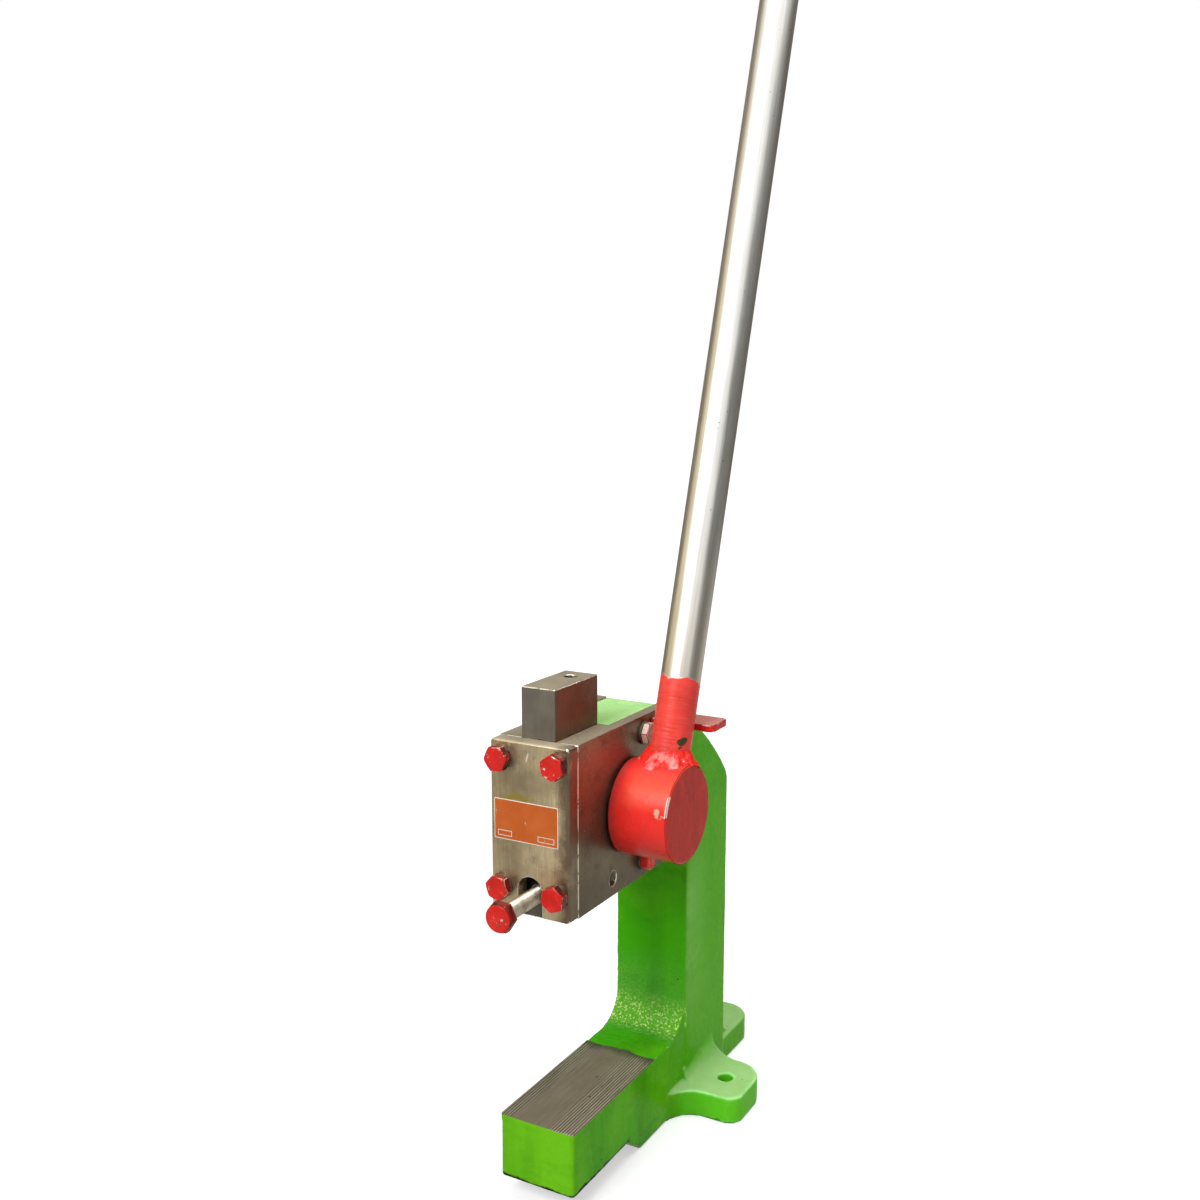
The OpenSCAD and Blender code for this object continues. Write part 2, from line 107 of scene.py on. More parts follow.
# Where the casting's finish and its painted light change: from and to, in mm along one axis
LIT_BAR_NOSE = (-215, -224)       # Y, painted light on the front end of the bar, which is paler
EAR_ROOT = (37.4, 39)         # X, from the bar's side to the ear
FOOT_DUST_SHEEN = (66, 58)          # Z, dust and painted reflection on the foot
EAR_SLOPE = (84, 60)          # Z, dust and painted reflection on the slope down to the ear
EAR_FLAT = (66, 60)           # Z, duller dust and painted reflection on the ear itself
HEAD_DUST_SHEEN = (330, 360)        # Z, dust and painted reflection on top of the arm
ABOVE_FOOT = (200, 210)       # Z, dust and painted reflection lie only on what is level from here up
SIDE_REAR = (-75, 5)          # Y, painted reflection on the side of the column
SIDE_TOP = (350, 260)         # Z
BAND_REAR = (26, -16)         # Y, painted highlight along the column's front edge
BAND_FRONT = (-26, -22)       # Y
BAND_FOOT = (60, 130)         # Z
BAND_TOP = (270, 205)         # Z
SHADE_RISE = (165, 250)       # Z, painted shadow of the head on the column's front
SHADE_DEPTH = (-70, -40)      # Y
SHEEN_RIGHT = (2, 20)         # X, painted light on the column's front below it
SHEEN_DEPTH = (-60, -45)      # Y
SHEEN_TOP = (225, 175)        # Z
RIM_OUT = (40, 46)            # X, painted highlight on the ear's rim
EAR_OUT = (38, 46)            # X, painted light on the side of the ear
EAR_LOW = (30, 24)            # Z
CURVE_FOOT = (74, 78)         # Z, painted light and glints on the fillet between bar and column
CURVE_TOP = (104, 86)         # Z
GRIME_SHADE_FRONT = (-128, -132)    # Y, dirt and painted shadow in the step under the bar
ROUGH_FRONT = (-84, -70)      # Y, coarse skin at the column's foot
ROUGH_REAR = (-10, -24)       # Y
ROUGH_TOP = (150, 95)         # Z

# Where the marks on the front plate and the painted shade on the ram lie, in the same way
OILY_EDGE = (24, 34)          # X
SMEAR_LOW = (345, 347)        # Z, yellow smear over the label
SMEAR_HIGH = (354, 349)       # Z
SMEAR_RIGHT = (6, -4)         # X
SMEAR_LEFT = (-30, -20)       # X
SLOT_SHADE_FOOT = (258, 270)        # Z, the ram's black painted shade thins out below

# Skin of the casting
VOXEL = 1.5 * MM
SKIN = 0.16 * MM
FOOT_SKIN = 0.42 * MM
SKIN_WAVES = 0.25 * MM

# Colours, linear
GREEN = (0.052, 0.40, 0.002, 1)
GREEN_PALE = (0.14, 0.48, 0.008, 1)
GREEN_LIT = (0.085, 0.56, 0.004, 1)
GREEN_DEEP = (0.022, 0.17, 0.002, 1)
GREEN_DUST_SHEEN = (0.42, 0.72, 0.27, 1)
GREEN_SIDE_SHEEN = (0.13, 0.50, 0.014, 1)
EDGE_HIGHLIGHT = (0.21, 0.56, 0.085, 1)
EAR_DUST_SHEEN = (0.36, 0.62, 0.225, 1)
EAR_HIGHLIGHT = (0.42, 0.95, 0.33, 1)
EAR_SIDE_LIT = (0.13, 0.60, 0.02, 1)
FILLET_LIT = (0.17, 0.62, 0.008, 1)
GLINT = (0.75, 0.95, 0.30, 1)
GRIME_AND_SHADE = (0.014, 0.016, 0.006, 1)
PRIMER = (0.62, 0.62, 0.54, 1)
RED = (0.84, 0.026, 0.018, 1)
RED_DEEP = (0.44, 0.012, 0.009, 1)
RED_PALE = (0.82, 0.10, 0.075, 1)
RED_BOLT = (0.62, 0.018, 0.012, 1)
FLANK = (0.028, 0.014, 0.010, 1)
WELD_HIGHLIGHT = (0.84, 0.40, 0.36, 1)
STOP_TOP = (0.58, 0.28, 0.23, 1)
HUB_INNER_SHADE = (0.42, 0.03, 0.03, 1)
HUB_SHEEN = (0.90, 0.24, 0.12, 1)
HUB_FACE_SHADE = (0.56, 0.034, 0.022, 1)
HUB_FACE_SHADE_DEEP = (0.44, 0.022, 0.014, 1)
HUB_BARE = (0.62, 0.36, 0.24, 1)
CHIP = (0.85, 0.80, 0.72, 1)
CREAM = (0.70, 0.58, 0.46, 1)
RUST = (0.13, 0.055, 0.035, 1)
STEEL = (0.25, 0.20, 0.12, 1)
STEEL_DARK = (0.115, 0.090, 0.053, 1)
STEEL_PALE = (0.40, 0.33, 0.21, 1)
STEEL_TOP_LIT = (0.46, 0.40, 0.29, 1)
STEEL_NICK = (0.75, 0.70, 0.60, 1)
BLUED = (0.080, 0.086, 0.095, 1)
RAM_FRONT = (0.23, 0.215, 0.19, 1)
RAM_SIDE = (0.11, 0.055, 0.028, 1)
OIL = (0.075, 0.052, 0.028, 1)
PLATE_OIL = (0.085, 0.05, 0.032, 1)
YELLOW = (0.36, 0.27, 0.02, 1)
SCRATCHED = (0.9, 0.86, 0.74, 1)
BRIGHT = (0.93, 0.92, 0.89, 1)
DRAWN = (0.74, 0.72, 0.67, 1)
TARNISH = (0.46, 0.36, 0.23, 1)
BROWNED = (0.52, 0.44, 0.29, 1)
PIT = (0.10, 0.075, 0.05, 1)
FOOT_BARE = (0.05, 0.05, 0.02, 1)
EDGE = (0.80, 0.75, 0.63, 1)
IRON = (0.22, 0.175, 0.115, 1)
IRON_PALE = (0.46, 0.40, 0.29, 1)
IRON_STAIN = (0.28, 0.215, 0.145, 1)
IRON_LINE = (0.60, 0.54, 0.41, 1)
IRON_GAP = (0.085, 0.062, 0.04, 1)
IRON_SPOT = (0.05, 0.036, 0.025, 1)
IRON_NICK = (0.70, 0.64, 0.52, 1)
IRON_END = (0.045, 0.04, 0.02, 1)
CUT = (0.55, 0.50, 0.40, 1)
CUT_DULL = (0.26, 0.22, 0.15, 1)
DARK = (0.10, 0.095, 0.085, 1)
DARK_PALE = (0.24, 0.21, 0.17, 1)
BRONZE = (0.50, 0.30, 0.11, 1)
BRONZE_DEEP = (0.34, 0.19, 0.07, 1)
ORANGE = (0.45, 0.085, 0.008, 1)
ORANGE_FADED = (0.55, 0.15, 0.03, 1)
WHITE = (0.72, 0.66, 0.54, 1)
WHITE_SOILED = (0.62, 0.55, 0.44, 1)
BLACK = (0.010, 0.009, 0.008, 1)

# First input, second input and output of the Mix node, by kind
COLOUR_SOCKETS = (6, 7, 2)
VALUE_SOCKETS = (2, 3, 0)


def brighter(colour, gain):
    return tuple(c * gain for c in colour[:3]) + (1,)


class Shader:
    """One procedural material: short calls that add nodes and join them."""

    def __init__(self, name):
        self.mat = bpy.data.materials.new(name)
        self.mat.use_nodes = True
        self.tree = self.mat.node_tree
        self.bsdf = self.tree.nodes["Principled BSDF"]
        self.coords = self.add("ShaderNodeTexCoord").outputs["Object"]

    def add(self, kind, **props):
        made = self.tree.nodes.new(kind)
        for key, value in props.items():
            setattr(made, key, value)
        return made

    def join(self, source, target):
        if hasattr(source, "links"):
            self.tree.links.new(source, target)
        else:
            target.default_value = source

    def set(self, socket, value):
        self.join(value, self.bsdf.inputs[socket])

    def scaled(self, x, y, z):
        node = self.add("ShaderNodeMapping")
        self.join(self.coords, node.inputs["Vector"])
        node.inputs["Scale"].default_value = (x, y, z)
        return node.outputs["Vector"]

    def noise(self, scale, detail=3.0, rough=0.55, vector=None):
        node = self.add("ShaderNodeTexNoise")
        self.join(vector or self.coords, node.inputs["Vector"])
        node.inputs["Scale"].default_value = scale
        node.inputs["Detail"].default_value = detail
        node.inputs["Roughness"].default_value = rough
        return node.outputs["Fac"]

    def cells(self, scale):
        node = self.add("ShaderNodeTexVoronoi")
        self.join(self.coords, node.inputs["Vector"])
        node.inputs["Scale"].default_value = scale
        return node.outputs["Distance"]

    def spread(self, value, low, high, to_low=0.0, to_high=1.0):
        node = self.add("ShaderNodeMapRange")
        self.join(value, node.inputs["Value"])
        node.inputs["From Min"].default_value = low
        node.inputs["From Max"].default_value = high
        node.inputs["To Min"].default_value = to_low
        node.inputs["To Max"].default_value = to_high
        return node.outputs["Result"]

    def mottle(self, grain, low, high, to_low=0.0, to_high=1.0):
        """Mask of patches; grain is the scale, detail and roughness of its noise."""
        return self.spread(self.noise(*grain), low, high, to_low, to_high)

    def ramp(self, length, start, end, to_start=0.0, to_end=1.0):
        """Mask that changes between two lengths, given in mm."""
        return self.spread(length, start * MM, end * MM, to_start, to_end)

    def fade(self, letter, start, end, to_start=0.0, to_end=1.0):
        """Mask that changes between two places on an axis, given in mm."""
        return self.ramp(self.axis(letter), start, end, to_start, to_end)

    def turned(self, letter, start, end, to_start=0.0, to_end=1.0):
        """Mask that changes with how far a face looks along an axis."""
        return self.spread(self.facing(letter), start, end, to_start, to_end)

    def math(self, operation, a, b=0.0):
        node = self.add("ShaderNodeMath", operation=operation)
        self.join(a, node.inputs[0])
        self.join(b, node.inputs[1])
        return node.outputs[0]

    def times(self, value, *others):
        for other in others:
            value = self.math("MULTIPLY", value, other)
        return value

    def most(self, a, b):
        return self.math("MAXIMUM", a, b)

    def mix(self, kind, sockets, factor, a, b):
        first, second, result = sockets
        node = self.add("ShaderNodeMix", data_type=kind)
        self.join(factor, node.inputs["Factor"])
        self.join(a, node.inputs[first])
        self.join(b, node.inputs[second])
        return node.outputs[result]

    def blend(self, factor, a, b):
        return self.mix("RGBA", COLOUR_SOCKETS, factor, a, b)

    def blend_value(self, factor, a, b):
        return self.mix("FLOAT", VALUE_SOCKETS, factor, a, b)

    def along(self, point, direction):
        """Distance in metres from a point along a direction."""
        move = self.add("ShaderNodeVectorMath", operation="SUBTRACT")
        self.join(self.coords, move.inputs[0])
        move.inputs[1].default_value = point
        dot = self.add("ShaderNodeVectorMath", operation="DOT_PRODUCT")
        self.join(move.outputs["Vector"], dot.inputs[0])
        dot.inputs[1].default_value = direction
        return dot.outputs["Value"]

    def near(self, place, reach, ragged):
        """One within a ragged ball round a place, zero outside it."""
        away = self.add("ShaderNodeVectorMath", operation="DISTANCE")
        self.join(self.coords, away.inputs[0])
        away.inputs[1].default_value = place
        rough = self.mottle((170, 4, 0.6), 0.3, 0.7, -ragged, ragged)
        total = self.math("ADD", away.outputs["Value"], rough)
        return self.spread(total, reach + 0.3 * MM, reach - 0.3 * MM)

    def axis(self, letter):
        node = self.add("ShaderNodeSeparateXYZ")
        self.join(self.coords, node.inputs["Vector"])
        return node.outputs[letter]

    def facing(self, letter):
        """Part of the surface direction along one axis."""
        node = self.add("ShaderNodeSeparateXYZ")
        self.join(self.add("ShaderNodeNewGeometry").outputs["True Normal"], node.inputs["Vector"])
        return node.outputs[letter]

    def bump(self, height, distance, strength=1.0, under=None):
        node = self.add("ShaderNodeBump")
        node.inputs["Strength"].default_value = strength
        node.inputs["Distance"].default_value = distance
        self.join(height, node.inputs["Height"])
        if under:
            self.join(under, node.inputs["Normal"])
        return node.outputs["Normal"]


def dust_and_sheen_on_tops(s, tone):
    """Dust and a painted sky reflection, pale, on what lies level: the ear, the rear foot and the top of the
    arm.
    """
    low = s.blend_value(s.fade("X", *EAR_ROOT), s.fade("Z", *FOOT_DUST_SHEEN), s.fade("Z", *EAR_SLOPE))
    place = s.most(low, s.fade("Z", *HEAD_DUST_SHEEN))
    level = s.blend_value(s.fade("Z", *ABOVE_FOOT), s.turned("Z", 0.05, 0.4), s.turned("Z", 0.35, 0.9))
    pale_top = s.times(level, place, s.mottle((30, 4, 0.6), 0.25, 0.6, 0.7, 1.0))
    return s.blend(pale_top, tone, s.blend(s.fade("Z", *EAR_FLAT), GREEN_DUST_SHEEN, EAR_DUST_SHEEN))


def column_tones(s, tone, patches, runs, brush):
    """Painted reflection on the column's side, a painted highlight along its front edge, painted shadow on
    its upper front under the head and painted light on its lower front.
    """
    # Painted reflection on the side
    side = s.times(s.turned("X", 0.6, 0.97), s.fade("Y", *SIDE_REAR), s.fade("Z", *SIDE_TOP, 0.3, 1.0))
    tone = s.blend(s.times(side, s.spread(runs, 0.3, 0.7, 0.5, 0.85)), tone, GREEN_SIDE_SHEEN)
    # Painted highlight along the front edge
    band = s.times(s.turned("X", 0.55, 0.8), s.fade("Y", *BAND_REAR), s.fade("Y", *BAND_FRONT),
                   s.fade("Z", *BAND_FOOT), s.fade("Z", *BAND_TOP))
    tone = s.blend(s.times(band, s.spread(brush, 0.3, 0.6, 0.9, 0.5)), tone, EDGE_HIGHLIGHT)
    front = s.turned("Y", -0.5, -0.9)
    shade = s.times(front, s.fade("Z", *SHADE_RISE, 0.0, 0.8), s.fade("Y", *SHADE_DEPTH))
    tone = s.blend(s.times(shade, s.spread(patches, 0.35, 0.6, 1.0, 0.55)), tone, GREEN_DEEP)
    # Painted light on the lower front
    sheen = s.times(front, s.fade("X", *SHEEN_RIGHT), s.fade("Y", *SHEEN_DEPTH), s.fade("Z", *SHEEN_TOP))
    return s.blend(s.times(sheen, s.spread(patches, 0.35, 0.6, 0.9, 0.5)), tone, GREEN_LIT)


def wear_and_painted_light(s, tone):
    """Dark specks and worn edges, a painted highlight on the ear's rim, painted light on the ear's side and
    the fillet with painted glints, and dirt with painted shadow near the floor.
    """
    chips = s.times(s.spread(s.cells(75), 0.075, 0.03), s.mottle((21, 2), 0.54, 0.58))
    tone = s.blend(chips, tone, BLACK)
    edge = s.add("ShaderNodeNewGeometry").outputs["Pointiness"]
    worn = s.times(s.spread(edge, 0.53, 0.56), s.mottle((110, 4), 0.54, 0.60))
    tone = s.blend(worn, tone, PRIMER)
    # Painted highlight on the ear's rim
    rim = s.times(s.spread(edge, 0.505, 0.54), s.fade("X", *RIM_OUT))
    tone = s.blend(s.times(rim, s.mottle((45, 3), 0.35, 0.6, 0.2, 0.9)), tone, EAR_HIGHLIGHT)
    # Painted light on the ear's side faces
    ear = s.times(s.fade("X", *EAR_OUT), s.turned("Z", 0.5, 0.1))
    tone = s.blend(s.times(ear, s.fade("Z", *EAR_LOW, 0.0, 0.7)), tone, EAR_SIDE_LIT)
    # Painted light and painted glints on the fillet
    curve = s.times(s.fade("Z", *CURVE_FOOT), s.fade("Z", *CURVE_TOP), s.turned("Y", -0.15, -0.4))
    tone = s.blend(s.times(curve, 0.6), tone, FILLET_LIT)
    glints = s.times(s.mottle((520, 2, 0.5), 0.55, 0.61), s.mottle((26, 2), 0.32, 0.46))
    tone = s.blend(s.times(glints, s.times(curve, 0.95)), tone, GLINT)
    # Dirt and painted shadow in the step under the bar, along the floor and on faces that look down
    ragged = s.math("ADD", s.axis("Z"), s.mottle((60, 4), 0.3, 0.7, -2 * MM, 2 * MM))
    grime_and_shade = s.times(s.fade("Y", *GRIME_SHADE_FRONT), s.spread(ragged, RELIEF + 4 * MM, RELIEF + 2.5 * MM))
    grime_and_shade = s.most(grime_and_shade, s.ramp(ragged, 1.8, 0.8, 0.0, 0.6))
    return s.blend(s.most(grime_and_shade, s.turned("Z", -0.5, -0.8)), tone, GRIME_AND_SHADE)


def green_enamel():
    """Thick glossy enamel brushed over a rough sand casting."""
    s = Shader("green_enamel")
    patches = s.noise(9, 4, 0.6)
    runs = s.noise(4, 4, 0.55, s.scaled(6, 6, 1))
    brush = s.noise(14, 4, 0.6, s.scaled(1, 1, 5))
    # Random paler patches, and painted light on the front end of the bar
    tone = s.blend(s.most(s.spread(patches, 0.42, 0.72), s.fade("Y", *LIT_BAR_NOSE)), GREEN, GREEN_PALE)
    tone = s.blend(s.spread(runs, 0.46, 0.74, 0.0, 0.6), tone, GREEN_DEEP)
    tone = s.blend(s.spread(brush, 0.55, 0.75, 0.0, 0.25), tone, GREEN_DEEP)
    tone = dust_and_sheen_on_tops(s, tone)
    tone = column_tones(s, tone, patches, runs, brush)
    s.set("Base Color", wear_and_painted_light(s, tone))
    s.set("Roughness", s.mottle((40, 3), 0.3, 0.7, 0.15, 0.32))
    foot = s.times(s.fade("Y", *ROUGH_FRONT), s.fade("Y", *ROUGH_REAR), s.fade("Z", *ROUGH_TOP),
                   s.spread(s.axis("Z"), ANVIL_Z - 1 * MM, ANVIL_Z + 3 * MM),
                   s.spread(s.math("ABSOLUTE", s.facing("X")), 0.8, 0.3))
    s.set("Specular IOR Level", s.spread(foot, 0, 1, 0.04, 0.5))
    pebbles = s.bump(s.times(s.noise(420, 3, 0.6), foot), 3.2 * MM, 1.0)
    lumps = s.bump(s.noise(70, 3, 0.5), 1.6 * MM, 0.5, pebbles)
    s.set("Normal", s.bump(s.noise(330, 3, 0.5), 0.45 * MM, 0.45, lumps))
    return s.mat


def planed_iron():
    """Bare planed top of the bar: bold tool lines beside its two edges, mottled brown between them."""
    s = Shader("planed_iron")
    fine = s.noise(40, 5, 0.7, s.scaled(34, 0.5, 34))
    stains = s.noise(32, 6, 0.65)
    wave = s.math("SINE", s.times(s.axis("X"), 2 * math.pi / LINE_PITCH))
    band = s.most(s.fade("X", *LINES_LEFT), s.fade("X", *LINES_RIGHT))
    broken = s.mottle((30, 4, 0.6, s.scaled(10, 1, 10)), 0.35, 0.5)
    lines = s.times(s.spread(wave, 0.1, 0.8), band, broken)
    gaps = s.times(s.spread(wave, -0.3, -0.8), band)
    tone = s.blend(s.spread(fine, 0.3, 0.7), IRON, IRON_PALE)
    tone = s.blend(s.spread(stains, 0.42, 0.72, 0.0, 0.75), tone, IRON_STAIN)
    tone = s.blend(s.times(lines, 0.7), tone, IRON_LINE)
    tone = s.blend(s.times(gaps, 0.8), tone, IRON_GAP)
    spots = s.times(s.spread(s.cells(95), 0.13, 0.06), s.mottle((21,), 0.50, 0.55))
    tone = s.blend(spots, tone, IRON_SPOT)
    nicks = s.times(s.spread(s.cells(130), 0.08, 0.04), s.mottle((33,), 0.54, 0.58))
    tone = s.blend(nicks, tone, IRON_NICK)
    end = s.math("ADD", s.axis("Y"), s.mottle((90, 4), 0.3, 0.7, -4 * MM, 4 * MM))
    tone = s.blend(s.spread(end, PLANED_END - 12 * MM, PLANED_END, 0.0, 0.8), tone, IRON_END)
    s.set("Base Color", tone)
    s.set("Metallic", 0.6)
    s.set("Roughness", s.spread(fine, 0.3, 0.7, 0.36, 0.55))
    s.set("Normal", s.bump(fine, 0.35 * MM, 0.6))
    return s.mat


def red_paint(name="red_paint", wear=0.0, bare_above=None, dull=1.0, pale_top=None, pale=None,
              base=RED, flank=None):
    """Brushed red paint with thin, dull and chipped places; wear adds bare spots.
    bare_above is the height from which it is scraped off, dull the strength of its dark patches,
    pale_top a colour for its top, pale one for a painted highlight on lumps that look forward, base its
    own red, and flank the colour of faces that do not look forward."""
    s = Shader(name)
    tone = s.blend(s.mottle((38, 4, 0.6), 0.38, 0.7, 0.0, dull), base, RED_DEEP)
    tone = s.blend(s.mottle((95, 4, 0.65), 0.58, 0.8, 0.0, 0.45), tone, RED_PALE)
    # A paler top
    if pale_top:
        tone = s.blend(s.turned("Z", 0.6, 0.95, 0.0, 0.85), tone, pale_top)
    # Painted highlight on lumps that look forward
    if pale:
        lumps = s.mottle((75, 3, 0.5), 0.52, 0.66, 0.0, 0.85)
        tone = s.blend(s.times(lumps, s.turned("Y", -0.1, -0.5)), tone, pale)
    if flank:
        bare = s.spread(s.math("ABSOLUTE", s.facing("Y")), 0.75, 0.5)
        tone = s.blend(s.times(bare, s.mottle((150, 3), 0.4, 0.6, 0.95, 0.55)), tone, flank)
    chips = s.times(s.mottle((240, 4, 0.6), 0.65 - wear, 0.69 - wear),
                    s.mottle((30, 2), 0.53 - wear, 0.58 - wear))
    if bare_above:
        scraped = s.spread(s.axis("Z"), bare_above, bare_above + MM)
        chips = s.most(chips, s.times(scraped, s.mottle((120, 3), 0.3, 0.45, 0.6, 1.0)))
        under = CREAM
    else:
        under = s.blend(s.mottle((160, 3), 0.45, 0.55), CREAM, RUST)
    s.set("Base Color", s.blend(chips, tone, under))
    s.set("Roughness", s.mottle((55, 3), 0.3, 0.7, 0.20, 0.36))
    s.set("Specular IOR Level", 0.14)
    s.set("Normal", s.bump(s.noise(210, 4, 0.55), 0.5 * MM, 0.45))
    return s.mat


def hub_paint():
    """Thick bright paint round the hub, with a painted sheen above and painted shade at its inner end and
    underneath, a duller end face in painted shade and a chipped rim.
    """
    s = Shader("hub_paint")
    across = s.axis("X")
    tone = s.blend(s.mottle((24, 4, 0.6), 0.42, 0.72, 0.0, 0.35), RED, RED_DEEP)
    tone = s.blend(s.mottle((80, 4, 0.65), 0.60, 0.8, 0.0, 0.35), tone, RED_PALE)
    # Painted shade near the cheek and underneath
    inner = s.spread(across, HUB_LO.x + 9 * MM, HUB_LO.x + 4 * MM, 0.0, 0.7)
    tone = s.blend(inner, tone, HUB_INNER_SHADE)
    tone = s.blend(s.turned("Z", -0.1, -0.75, 0.0, 0.75), tone, RED_DEEP)
    # Painted sheen on the upper side
    sheen_top = s.times(s.turned("Z", 0.2, 0.62, 0.0, 0.3), s.turned("Z", 0.92, 0.66, 0.2, 1.0),
                    s.spread(across, HUB_LO.x + 8 * MM, HUB_LO.x + 18 * MM))
    tone = s.blend(sheen_top, tone, HUB_SHEEN)
    # End face darker as painted shade, with brush marks
    disc = s.turned("X", 0.8, 0.97)
    brush = s.noise(60, 4, 0.6, s.scaled(1, 3, 0.6))
    tone = s.blend(disc, tone, s.blend(s.spread(brush, 0.4, 0.7), HUB_FACE_SHADE, HUB_FACE_SHADE_DEEP))
    rim = s.times(s.spread(across, HUB_HI.x - 2.6 * MM, HUB_HI.x - 1.6 * MM), s.spread(disc, 1.0, 0.0))
    tone = s.blend(s.times(s.near(RIM_CHIP, 8 * MM, 4 * MM), rim), tone, CHIP)
    tone = s.blend(s.near(HUB_CHIP, 3 * MM, 3 * MM), tone, HUB_BARE)
    s.set("Base Color", tone)
    s.set("Roughness", s.mottle((55, 3), 0.3, 0.7, 0.22, 0.38))
    s.set("Specular IOR Level", s.spread(disc, 0, 1, 0.26, 0.08))
    s.set("Normal", s.bump(s.noise(160, 4, 0.55), 0.4 * MM, 0.4))
    return s.mat


def worn_edge(name, under, amount):
    """Rubbed edge: bright metal breaking through the finish below it."""
    s = Shader(name)
    bare = s.mottle((150, 4, 0.6), 0.62 - amount, 0.70 - amount)
    s.set("Base Color", s.blend(bare, under, EDGE))
    s.set("Metallic", s.spread(bare, 0, 1, 0.3, 0.9))
    s.set("Roughness", 0.3)
    return s.mat


def plate_marks(s, tone):
    """Oil at the right edge, a yellow smear over the label and one pale scratch."""
    ragged = s.mottle((45, 5, 0.65), 0.3, 0.7, -6 * MM, 6 * MM)
    edge = s.ramp(s.math("ADD", s.axis("X"), ragged), *OILY_EDGE, 0.0, 0.75)
    tone = s.blend(edge, tone, PLATE_OIL)
    rise = s.math("ADD", s.axis("Z"), s.times(ragged, 0.6))
    smear = s.times(s.ramp(rise, *SMEAR_LOW), s.ramp(rise, *SMEAR_HIGH),
                    s.fade("X", *SMEAR_RIGHT), s.fade("X", *SMEAR_LEFT, 0.0, 0.8))
    tone = s.blend(smear, tone, YELLOW)
    above = s.math("SUBTRACT", s.axis("Z"), SCRATCH.z)
    beside = s.math("SUBTRACT", s.axis("X"), SCRATCH.x)
    across = s.math("ABSOLUTE", s.math("SUBTRACT", beside, s.times(above, SCRATCH_LEAN)))
    line = s.times(s.ramp(across, 0.9, 0.4), s.ramp(s.math("ABSOLUTE", above), 3.9, 3.2))
    return s.blend(s.times(line, s.mottle((300, 3), 0.35, 0.5)), tone, SCRATCHED)


def ground_steel(name, grain, gain, front=None, side=None, low=None, slot_shade=None, marks=False):
    """Ground steel under an oily film: grain stretches its grinding lines, gain is its brightness.
    front and side tint two of its faces, low is the height below which it turns darker,
    slot_shade the height below which it is painted black as shade in the plate's slot, and marks adds the
    scuffs of the front plate."""
    s = Shader(name)
    lines = s.noise(30, 6, 0.72, s.scaled(*grain))
    smears = s.noise(48, 5, 0.68)
    dark = brighter(STEEL_DARK, gain)
    tone = s.blend(s.spread(lines, 0.3, 0.7), brighter(STEEL, gain), brighter(STEEL_PALE, gain))
    tone = s.blend(s.mottle((13, 5, 0.62), 0.40, 0.66, 0.0, 0.8), tone, dark)
    # Darker towards the bottom
    if low:
        tone = s.blend(s.spread(s.axis("Z"), low, low - 50 * MM, 0.0, 0.7), tone, dark)
    tone = s.blend(s.spread(smears, 0.56, 0.76, 0.0, 0.65), tone, brighter(OIL, gain))
    if front:
        cool = s.blend(s.mottle((16, 3, 0.5), 0.42, 0.6), front, BLUED)
        tone = s.blend(s.turned("Y", -0.5, -0.9, 0.0, 0.75), tone, cool)
    if side:
        tone = s.blend(s.turned("X", 0.5, 0.9, 0.0, 0.7), tone, side)
    # Tops painted lighter as painted light
    tone = s.blend(s.turned("Z", 0.5, 0.9, 0.0, 0.6), tone, STEEL_TOP_LIT)
    # Painted black shade on the ram's lower part, seen through the plate's slot
    if slot_shade:
        below = s.spread(s.axis("Z"), slot_shade + 6 * MM, slot_shade - 4 * MM)
        tone = s.blend(s.times(below, s.fade("Z", *SLOT_SHADE_FOOT, 0.45, 0.95)), tone, BLACK)
    nicks = s.times(s.spread(s.cells(120), 0.06, 0.02), s.mottle((25,), 0.55, 0.58))
    tone = s.blend(nicks, tone, STEEL_NICK)
    if marks:
        tone = plate_marks(s, tone)
    s.set("Base Color", tone)
    s.set("Metallic", s.turned("Z", 0.5, 0.9, 0.85, 0.35))
    s.set("Roughness", s.spread(smears, 0.3, 0.75, 0.24, 0.46))
    s.set("Normal", s.bump(lines, 0.12 * MM, 0.5))
    return s.mat


